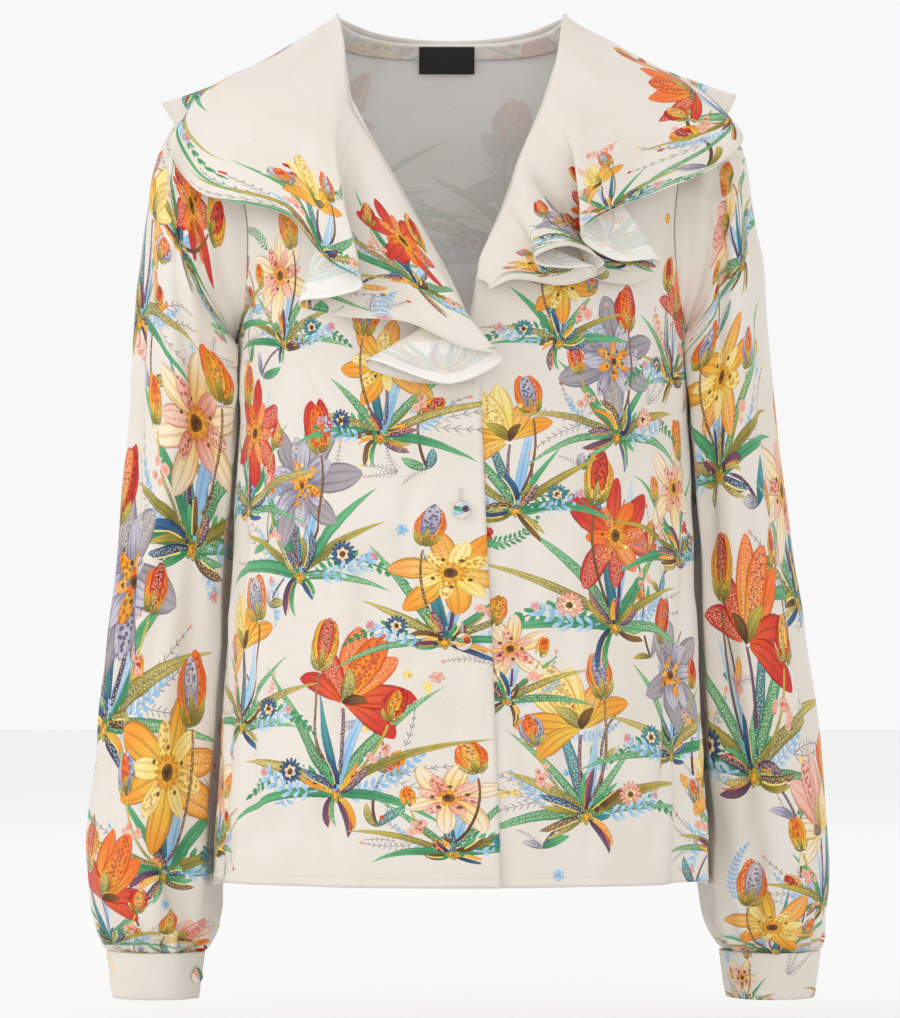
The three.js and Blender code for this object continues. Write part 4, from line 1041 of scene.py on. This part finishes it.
# Writes each face's topmost stamps into UV layers: the place in the stamp, then its kind, colour and seed.
# Where the layers are full, the stamp that fills least of the face makes room.
def layPrint(piece, stamps):
    mesh = piece.data
    count = len(mesh.polygons)
    corners = flatCorners(mesh).reshape(count, 4, 2)
    middle = corners.mean(1)
    radius = np.linalg.norm(corners - middle[:, None], axis=2).max(1)
    place = np.full((inkLayers, count, 4, 2), farPlace)
    label = np.zeros((inkLayers, count, 2))
    label[:, :, 0] = emptyKind
    used = np.zeros(count, int)
    share = np.zeros((inkLayers, count))
    for kind, color, line, half, seed in stamps.items:
        low, high = line.min(0) - half - faceReach, line.max(0) + half + faceReach
        near = np.nonzero(np.all((middle > low) & (middle < high), axis=1))[0]
        if not len(near):
            continue
        faces = (middle[near], corners[near], radius[near] / half)
        if inkKinds[kind][3] == 1.0:
            chart, hit, covers, drawn = roundChart(line, half, *faces)
        else:
            chart, hit, covers, drawn = ribbonChart(kind, line, half, *faces)
        hidden = near[hit & covers]
        used[hidden] = 0
        label[:, hidden, 0] = emptyKind
        chosen = near[hit]
        full = used[chosen] == inkLayers
        least = share[:, chosen].argmin(0)
        for layer in range(inkLayers - 1):
            moved = chosen[full & (least <= layer)]
            for table in (place, label, share):
                table[layer, moved] = table[layer + 1, moved]
        slot = np.minimum(used[chosen], inkLayers - 1)
        place[slot, chosen] = chart[hit]
        share[slot, chosen] = drawn[hit]
        label[slot, chosen] = ((kindNames.index(kind) + 0.5) / inkSlots, colorNames.index(color) + seed)
        used[chosen] = np.minimum(used[chosen] + 1, inkLayers)
    for layer in range(inkLayers):
        for name, values in (("Place", place[layer]), ("Kind", np.repeat(label[layer][:, None], 4, axis=1))):
            mesh.uv_layers.new(name=name + str(layer)).data.foreach_set("uv", values.ravel())
    mesh.uv_layers["Cut"].active_render = True


# Scattered small motifs fill in between the clumps
def scatter(stamps, low, high, count):
    for k in range(count):
        at = (stamps.between(low[0], high[0]), stamps.between(low[1], high[1]))
        if k % 5 == 0:
            stamps.sprigs(at, stamps.between(20, 160), 24)
        elif k % 5 == 1:
            stamps.berries(at, 4, 9, ("red", "yellow", "sky")[k % 3])
        elif k % 5 == 2:
            stamps.twig(at, stamps.between(0, 360), 34, 60, ("green", "sky", "coral")[k % 3], 7)
        elif k % 5 == 3:
            stamps.round("floret", ("sky", "coral", "gold")[k % 3], at, 4.2)
        else:
            stamps.ribbon("fern", ("green", "coral", "sky")[k % 3], at, stamps.between(0, 360), 44, 80, 13)


def printPieces():
    for number, (name, clumps) in enumerate(layouts.items()):
        stamps = Stamps(101 + number)
        scatter(stamps, *scatterAreas[name])
        for x, y, size, lean, _ in clumps:
            if size > vineSize:
                color = "brown" if lean > 0 else "plum"
                stamps.vine((x + 30 * lean, y - 20), 90 + 24 * lean, 120 * size, color)
        for clump in clumps:
            stamps.clump(*clump)
        layPrint(made[name][0], stamps)
    for number, (name, (petal, middle)) in enumerate(buttonTints.items()):
        stamps = Stamps(301 + number)
        piece = made[name][0]
        x, y = flatCorners(piece.data).reshape(-1, 2).mean(0)
        stamps.ribbon("petal", petal, (x - 7, y - 3), 20, 15, 30, 6)
        stamps.ribbon("blade", "green", (x - 7, y + 3), -30, 15, 40, 3)
        stamps.round("disc", middle, (x + 2.5, y + 1), 2.4)
        layPrint(piece, stamps)


# Line across a piece at one height of its flat cloth, in millimetres, with the cloth's normals
def lineAcross(name, level):
    _, points, normals, flat = made[name]
    place, facing = [], []
    for i in range(points.shape[1]):
        j = np.interp(-level, -flat[:, i, 1], np.arange(len(flat)))
        k = min(int(j), len(flat) - 2)
        place.append(points[k, i] * (k + 1 - j) + points[k + 1, i] * (j - k))
        facing.append(normals[k, i])
    return np.array(place), np.array(facing)


# Line down a piece at a share of its width, between two shares of its height
def lineDown(name, share, start, end):
    _, points, normals, _ = made[name]
    i = share * (points.shape[1] - 1)
    k = int(i)
    rows = slice(int(start * (len(points) - 1)), int(end * (len(points) - 1)) + 1)
    return points[rows, k] * (k + 1 - i) + points[rows, k + 1] * (i - k), normals[rows, k]


# Threads of one sewn detail: each is a short strand over the cloth, its ends sunk into it
def strands(name, runs, radius, material):
    curve = bpy.data.curves.new(name, "CURVE")
    curve.dimensions = "3D"
    curve.bevel_depth = radius / 1000
    curve.bevel_resolution = 1
    curve.use_fill_caps = True
    for run in runs:
        path = curve.splines.new("POLY")
        path.points.add(len(run) - 1)
        path.points.foreach_set("co", np.concatenate([run / 1000, np.ones((len(run), 1))], 1).ravel())
        path.use_smooth = True
    curve.materials.append(material)
    piece = linkObject(name, curve)
    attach(piece, "root")


def stitchRuns(line, facing):
    length, gap = threadLook["stitch"], threadLook["gap"]
    steps = np.concatenate([[0], np.cumsum(np.linalg.norm(np.diff(line, axis=0), axis=1))])
    dice = np.random.RandomState(int(steps[-1] * 10) % 9973)
    runs = []
    for k in range(int(steps[-1] / (length + gap))):
        spots = k * (length + gap) + gap / 2 + length * np.array([0, 0.14, 0.5, 0.86, 1])
        place, out = (np.stack([np.interp(spots, steps, values[:, axis]) for axis in range(3)], -1)
                      for values in (line, facing))
        rise = np.array([-0.22, 0.06, 0.13, 0.06, -0.22]) + 0.02 * dice.uniform(-1, 1)
        runs.append(place + out * rise[:, None])
    return runs


def sew(name, lines, material):
    runs = [run for line, facing in lines for run in stitchRuns(line, facing)]
    strands(name, runs, threadLook["radius"], material)


def onPlacket(across, height, rise):
    height = np.full(len(across), height)
    line = bodyPoint(bodyAngle(across, height), height, placketLift)
    line[:, 1] += rise
    return line


# Buttonhole: two rows of close satin thread and a bar at each end, upright over its button
def buttonhole(name, x, z, reach, material):
    pitch, barReach = 0.42, 1.15
    runs = []
    for k in range(int(reach / pitch)):
        height = z + reach / 2 - pitch * k
        wide = 1.0 if 1 < k < reach / pitch - 2 else barReach
        for side in (-1, 1):
            spots = np.array([0.16, wide * 0.5, wide]) * side + x + 0.05 * math.sin(k * 2.3)
            runs.append(onPlacket(spots, height, np.array([0.08, -0.17, 0.08])))
    for height in (z + reach / 2, z - reach / 2):
        spots = np.array([-barReach, -0.5, 0.5, barReach]) + x
        runs.append(onPlacket(spots, height, np.array([0.08, -0.2, -0.2, 0.08])))
    strands(name, runs, threadLook["radius"], material)


def labelRuns():
    runs = []
    for x in np.arange(-22.2, 16.4, 1.0):
        for z in (-15.4, -32.6):
            spots = x + np.array([0, 0.2, 0.5, 0.7])
            height = z + np.array([0, 0.05, -0.05, 0])
            line = insideBody(bodyAngle(spots, height, True), height, labelDepth)
            line[:, 1] += np.array([0.1, -0.95, -0.95, 0.1])
            runs.append(line)
    return runs


def buildSewing(thread, darkThread):
    for name, hem in (("front_right", hemZ), ("front_left", hemZ), ("back", backHemZ)):
        sew("hem_stitch_" + name, [lineAcross(name, hem + bodyLook["hemStitch"])], thread)
    for hand in cuffs:
        name, inset = "cuff_" + hand, 1.7
        across = [lineAcross(name, level) for level in (-inset, inset - cuffHeight)]
        sew("edge_stitch_" + name, across + [lineDown(name, 0.993, 0.05, 0.95)], thread)
        name = "flounce_" + hand
        level = -flounceFlat * (1 - flounceStitch / flounceDepth)
        sew("hem_stitch_" + name, [lineAcross(name, level)], thread)
    for number, x, z in buttonPlaces:
        buttonhole("buttonhole_%d" % number, x - 1.0, z + 7.5, 15, thread)
    strands("label_stitch", labelRuns(), 0.1, darkThread)


# Arithmetic on node sockets
class Wire:
    def __init__(self, tree, socket):
        self.tree, self.socket = tree, socket

    def join(self, target, value):
        if isinstance(value, Wire):
            self.tree.links.new(value.socket, target)
        else:
            target.default_value = value

    def math(self, operation, *values, clamp=False):
        node = self.tree.nodes.new("ShaderNodeMath")
        node.operation, node.use_clamp = operation, clamp
        for k, value in enumerate((self, *values)):
            self.join(node.inputs[k], value)
        return Wire(self.tree, node.outputs[0])

    def __add__(self, other):
        return self.math("ADD", other)

    def __sub__(self, other):
        return self.math("SUBTRACT", other)

    def __mul__(self, other):
        return self.math("MULTIPLY", other)

    def __truediv__(self, other):
        return self.math("DIVIDE", other)

    def __rsub__(self, other):
        return (self * -1.0) + other

    __radd__, __rmul__ = __add__, __mul__

    def above(self, limit):
        return self.math("GREATER_THAN", limit)

    def below(self, limit):
        return self.math("LESS_THAN", limit)

    def least(self, other):
        return self.math("MINIMUM", other)

    def most(self, other):
        return self.math("MAXIMUM", other)

    def ramp(self, low, high):
        node = self.tree.nodes.new("ShaderNodeMapRange")
        node.interpolation_type = "SMOOTHSTEP"
        self.join(node.inputs["Value"], self)
        node.inputs["From Min"].default_value, node.inputs["From Max"].default_value = low, high
        return Wire(self.tree, node.outputs["Result"])

    # This colour laid over another, or multiplied into it
    def over(self, under, share, blend="MIX"):
        node = self.tree.nodes.new("ShaderNodeMix")
        node.data_type, node.clamp_factor, node.blend_type = "RGBA", True, blend
        sockets = [s for s in node.inputs if s.enabled]
        for socket, value in zip(sockets, (share, under, self)):
            self.join(socket, value)
        return Wire(self.tree, [s for s in node.outputs if s.enabled][0])


def wireOf(tree, node, name):
    return Wire(tree, node.outputs[name])


# Texture node read at a place, with its inputs set by name
def textureNode(tree, kind, place, **values):
    node = tree.nodes.new("ShaderNodeTex" + kind)
    if place:
        tree.links.new(place, node.inputs["Vector"])
    for name, value in values.items():
        node.inputs[name].default_value = value
    return node


def noiseWire(tree, place, **values):
    return wireOf(tree, textureNode(tree, "Noise", place, **values), "Fac")


def waveWire(tree, place, way, **values):
    node = textureNode(tree, "Wave", place, **values)
    node.bands_direction = way
    return wireOf(tree, node, "Fac")


# Scattered dots: 1 in the middle of each, 0 past its rim
def dotted(tree, place, scale, rim):
    node = textureNode(tree, "Voronoi", place)
    node.voronoi_dimensions = "2D"
    node.inputs["Scale"].default_value = scale
    return 1.0 - wireOf(tree, node, "Distance").ramp(*rim)


def flatColor(tree, color):
    node = tree.nodes.new("ShaderNodeRGB")
    node.outputs[0].default_value = (*color, 1)
    return Wire(tree, node.outputs[0])


def twoTones(tree, low, high, share):
    return flatColor(tree, high).over(flatColor(tree, low), share)


def uvPlace(tree, name):
    node = tree.nodes.new("ShaderNodeUVMap")
    node.uv_map = name
    return node.outputs["UV"]


def splitSocket(tree, kind, socket):
    node = tree.nodes.new("ShaderNodeSeparate" + kind)
    tree.links.new(socket, node.inputs[0])
    return [Wire(tree, out) for out in node.outputs]


# Table read by a number from 0 to 1: one flat colour stop for each row
def lookup(tree, index, rows):
    node = tree.nodes.new("ShaderNodeValToRGB")
    ramp = node.color_ramp
    ramp.interpolation = "CONSTANT"
    for k, row in enumerate(rows):
        stop = ramp.elements[k] if k < 2 else ramp.elements.new(k / inkSlots)
        stop.position = k / inkSlots
        stop.color = row
    tree.links.new(index.socket, node.inputs["Fac"])
    return node


# Group that draws one stamp: in its place and label, out its colour and its mask
def inkGroup():
    tree = bpy.data.node_groups.new("ink_stamp", "ShaderNodeTree")
    for name, way, kind in (("Place", "INPUT", "Vector"), ("Kind", "INPUT", "Vector"),
                            ("Cut", "INPUT", "Vector"), ("Color", "OUTPUT", "Color"),
                            ("Mask", "OUTPUT", "Float")):
        tree.interface.new_socket(name=name, in_out=way, socket_type="NodeSocket" + kind)
    entry, leave = tree.nodes.new("NodeGroupInput"), tree.nodes.new("NodeGroupOutput")
    cut = entry.outputs["Cut"]
    s, t, _ = splitSocket(tree, "XYZ", entry.outputs["Place"])
    code, tone, _ = splitSocket(tree, "XYZ", entry.outputs["Kind"])

    # A colour stop holds numbers up to 1, so larger ones are divided here and multiplied back
    powers, counts = 4.0, 32.0
    kinds = inkKinds.values()
    shape = lookup(tree, code, [(k[0] / powers, k[1] / powers, k[2] / counts, k[3]) for k in kinds])
    detail = lookup(tree, code, [(k[4] / counts, k[5], k[6], 1) for k in kinds])
    rise, fall, leaflets = splitSocket(tree, "Color", shape.outputs["Color"])
    rise, fall, leaflets = rise * powers, fall * powers, leaflets * counts
    family = wireOf(tree, shape, "Alpha")
    veinCount, spotty, lined = splitSocket(tree, "Color", detail.outputs["Color"])
    veinCount = veinCount * counts
    seed = tone.math("FRACT")
    index = (tone.math("FLOOR") + 0.5) / float(inkSlots)
    inner, outer, dark = (
        wireOf(tree, lookup(tree, index, [(*[v ** clothLook["inkDepth"] for v in tones[k]], 1)
                                          for tones in inkColors.values()]), "Color")
        for k in range(3))
    rough = noiseWire(tree, cut, Scale=190, Detail=3) - 0.5
    t = t + rough * 0.16
    isRound, isRibbon = family.above(0.75), family.below(0.25)
    isFern = 1.0 - isRound - isRibbon

    # Ribbon: its width rises and falls along it, and the edge is 1 on the rim
    held = s.most(0.0005).least(0.9995)
    both = rise + fall
    top = both.math("POWER", both) / (rise.math("POWER", rise) * fall.math("POWER", fall))
    width = top * held.math("POWER", rise) * (1.0 - held).math("POWER", fall)
    side = t.math("ABSOLUTE")
    across = t / width.most(0.03)
    ribbonEdge = across.math("ABSOLUTE")
    within = s.above(0.0) * s.below(1.0)

    # Fern: leaflets in pairs that lean towards its tip
    leafPlace = ((s * leaflets) - side * 1.1).math("FRACT") - 0.5
    reach = (1.0 - held).math("POWER", 0.6) * (held * 7.0).least(1.0) * 0.96
    leafShare = side / reach.most(0.04)
    leafWide = (leafShare * math.pi).math("SINE").most(0.02) * lined * 1.2
    leafEdge = (leafPlace.math("ABSOLUTE") / leafWide).most(leafShare)
    fernEdge = leafEdge.least(side / 0.055)

    # Round: a disc with lobes
    radius = (s * s + t * t).math("SQRT")
    turn = t.math("ARCTAN2", s)
    roundEdge = radius / ((turn * leaflets * 0.5).math("COSINE").math("ABSOLUTE") * 0.34 + 0.66)

    edge = ribbonEdge * isRibbon + fernEdge * isFern + roundEdge * isRound
    inside = within * (1.0 - isRound) + isRound
    soft = isRibbon * 0.05 + isFern * 0.16 + isRound * 0.07 + 0.04
    mask = ((1.04 - edge) / soft).math("MULTIPLY", 1.0, clamp=True) * inside * code.above(1.0 / inkSlots)
    blend = held * isRibbon + side * isFern + radius * isRound
    blend = (blend + rough * 0.5 + (seed - 0.5) * 0.3).ramp(0.12, 0.86)
    color = outer.over(inner, blend)

    # Veins, outline and spots in the dark tone, then a fine pale stipple
    bent = across * (isRibbon + isFern) + turn * isRound * 0.5
    veins = (bent * veinCount + seed * 6.0).math("SINE").ramp(0.35, 0.95) * veinCount.above(2.0)
    veins = veins * (1.0 - blend * 0.35) * 0.55
    lines = edge.ramp(0.80, 0.95) * lined
    dots = dotted(tree, cut, 360, (0.30, 0.42)) * spotty * (1.0 - edge.ramp(0.62, 0.8))
    color = dark.over(color, veins.most(lines).most(dots * 0.9))
    flecks = dotted(tree, cut, 820, (0.22, 0.34)) * (seed * 9.0).math("FRACT").above(0.55)
    flecks = flecks * (1.0 - edge.ramp(0.5, 0.85)) * isRibbon * 0.6
    color = flatColor(tree, (0.95, 0.84, 0.55)).over(color, flecks)
    tree.links.new(color.socket, leave.inputs["Color"])
    tree.links.new(mask.socket, leave.inputs["Mask"])
    return tree


def nodeMaterial(name, roughness=0.5):
    material = bpy.data.materials.new(name)
    material.use_nodes = True
    tree = material.node_tree
    shader = tree.nodes["Principled BSDF"]
    shader.inputs["Roughness"].default_value = roughness
    return material, tree, shader


def wearColor(tree, shader, color):
    tree.links.new(color.socket, shader.inputs["Base Color"])


def raiseSurface(tree, shader, height, strength, distance):
    bump = tree.nodes.new("ShaderNodeBump")
    bump.inputs["Strength"].default_value = strength
    bump.inputs["Distance"].default_value = distance
    tree.links.new(height.socket, bump.inputs["Height"])
    tree.links.new(bump.outputs["Normal"], shader.inputs["Normal"])


# Crepe: a fine uneven twist in the weave, from the flat cloth's own place
def crepeHeight(tree, cut):
    place = tree.nodes.new("ShaderNodeMapping")
    tree.links.new(cut, place.inputs["Vector"])
    place.inputs["Scale"].default_value = (1.0, 0.62, 1.0)
    fine = noiseWire(tree, place.outputs["Vector"], Scale=1500, Detail=2)
    warp = waveWire(tree, cut, "X", Scale=620, Distortion=3, Detail=1)
    return fine * 0.8 + warp * 0.3


def clothMaterial(name, group, ink, ground):
    material, tree, shader = nodeMaterial(name)
    cut = uvPlace(tree, "Cut")
    height = crepeHeight(tree, cut)
    raiseSurface(tree, shader, height, clothLook["weave"], 0.00012)
    warm = [c * share for c, share in zip(ground, (0.975, 0.955, 0.93))]
    cloud = noiseWire(tree, cut, Scale=22).ramp(0.35, 0.7)
    color = plain = twoTones(tree, ground, warm, cloud)
    for layer in range(inkLayers if ink > 0 else 0):
        node = tree.nodes.new("ShaderNodeGroup")
        node.node_tree = group
        for socket in ("Place", "Kind"):
            tree.links.new(uvPlace(tree, socket + str(layer)), node.inputs[socket])
        tree.links.new(cut, node.inputs["Cut"])
        color = wireOf(tree, node, "Color").over(color, wireOf(tree, node, "Mask") * 0.97)
    if 0 < ink < 1:
        color = color.over(plain, ink)
    # Painted shade: the colour is darkened by up to 22% where the weave's bump is low, in the weave's
    # hollows.
    wearColor(tree, shader, height.ramp(0.1, 0.75).over(color, 0.22, "MULTIPLY"))
    tree.links.new((height * 0.12 + (clothLook["roughness"] - 0.05)).socket, shader.inputs["Roughness"])
    shader.inputs["Sheen Weight"].default_value = clothLook["sheen"]
    shader.inputs["Sheen Roughness"].default_value = 0.45
    shader.inputs["Specular IOR Level"].default_value = 0.35
    return material


def labelMaterial():
    material, tree, shader = nodeMaterial("label_weave", 0.6)
    cut = uvPlace(tree, "Cut")
    rib = waveWire(tree, cut, "Y", Scale=900, Distortion=0.6)
    height = rib * 0.6 + noiseWire(tree, cut, Scale=2400) * 0.5
    low, high = (0.004, 0.004, 0.0045), (0.02, 0.02, 0.022)
    # Painted shade and highlight: the label is lighter on the high ribs of its bump and darker between them.
    wearColor(tree, shader, twoTones(tree, low, high, height.ramp(0.2, 0.9)))
    raiseSurface(tree, shader, height, 0.5, 0.0001)
    return material


def threadMaterial(name, color):
    material, tree, shader = nodeMaterial(name)
    place = tree.nodes.new("ShaderNodeTexCoord").outputs["Object"]
    twist = waveWire(tree, place, "DIAGONAL", Scale=1600)
    wearColor(tree, shader, twoTones(tree, [c * 0.8 for c in color], color, twist))
    return material


def floorMaterial():
    material, tree, shader = nodeMaterial("floor_pale", 0.9)
    pale = studioLook["floor"]
    wearColor(tree, shader, twoTones(tree, [c * 0.985 for c in pale], pale, noiseWire(tree, None, Scale=40)))
    return material


# Photo's frame: its size in pixels, the pixel that shows the origin, and the camera's distance (m)
pixel = 0.00070
photoTall, originRow, middleRow = 1018, 13, 509
cameraDistance = 4.0
floorZ = -0.735


def buildStudio():
    scene = bpy.context.scene
    camera = linkObject("camera", bpy.data.cameras.new("camera"))
    camera.data.lens = camera.data.sensor_width * cameraDistance / (photoTall * pixel)
    camera.location = (-pixel, -cameraDistance - 0.03, (originRow - middleRow) * pixel)
    camera.rotation_euler = (math.pi / 2, 0, 0)
    camera.data.clip_end = 60
    scene.camera = camera
    board = bmesh.new()
    bmesh.ops.create_grid(board, x_segments=1, y_segments=1, size=6)
    for vert in board.verts:
        vert.co.z = floorZ
    floor = meshObject("floor", board)
    floor.data.materials.append(floorMaterial())
    world = bpy.data.worlds.new("studio")
    world.use_nodes = True
    background = world.node_tree.nodes["Background"]
    background.inputs["Color"].default_value = (1, 1, 1, 1)
    background.inputs["Strength"].default_value = studioLook["world"]
    scene.world = world
    scene.view_settings.view_transform = "Standard"
    aim = Vector((0, 0, -0.34))
    for name, place, size in (("key", (-3.1, -1.5, 1.2), 1.2), ("fill", (0.4, -3.4, 0.1), 1.2),
                              ("back", (0.4, 2.4, 1.4), 2.0)):
        light = bpy.data.lights.new(name, "AREA")
        light.shape, light.size, light.energy = "SQUARE", size, studioLook[name]
        lamp = linkObject(name, light)
        lamp.location = place
        lamp.rotation_euler = (aim - Vector(place)).to_track_quat("-Z", "Y").to_euler()


stamp = inkGroup()
printed = clothMaterial("printed_crepe", stamp, 1, clothLook["ground"])
reverse = clothMaterial("printed_crepe_reverse", stamp, 0.26, clothLook["reverse"])
# Lighter copy of the reverse material for the back: painted light through the cloth.
backReverseWithPaintedLight = clothMaterial("printed_crepe_back_reverse_painted_light", stamp, 0.2, clothLook["backReverseWithPaintedLight"])
edge = clothMaterial("crepe_edge", stamp, 0, [c * 1.02 for c in clothLook["ground"]])
label = labelMaterial()
clothMaterials = (printed, reverse, edge)
buildBody(clothMaterials, backReverseWithPaintedLight)
print("stage: body")
buildSleeves(clothMaterials)
buildCuffs(clothMaterials)
print("stage: sleeves and cuffs")
buildFlounces(clothMaterials)
buildNeck(clothMaterials, (label, label, label))
buildButtons(printed)
print("stage: collar, neck and buttons")
printPieces()
print("stage: print")
cream = threadMaterial("thread_cream", (0.80, 0.73, 0.64))
black = threadMaterial("thread_black", (0.02, 0.02, 0.022))
buildSewing(cream, black)
print("stage: sewing")
buildStudio()

# Cut sizes: width, length (m), flat area (m2), how the cloth is held
cuts = {
    "front_right": (0.27, 0.64, 0.145, "draped"),
    "front_left": (0.27, 0.64, 0.14, "draped"),
    "back": (0.48, 0.64, 0.27, "draped"),
    "sleeve_right": (0.38, 0.61, 0.2, "gathered"),
    "sleeve_left": (0.38, 0.61, 0.2, "gathered"),
    "cuff_right": (0.255, 0.034, 0.0086, "folded"),
    "cuff_left": (0.255, 0.034, 0.0086, "folded"),
    "flounce_right": (0.6, 0.17, 0.08, "gathered"),
    "flounce_left": (0.6, 0.17, 0.08, "gathered"),
    "neck_binding": (0.19, 0.02, 0.0036, "folded"),
    "neck_label": (0.04, 0.019, 0.00076, "stretched"),
}
for node, parts in made.items():
    piece = parts[0]
    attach(piece, "root")
    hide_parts(node)
    if node in cuts:
        "label_weave" if node == "neck_label" else "printed_cloth"

print("stage: finished")
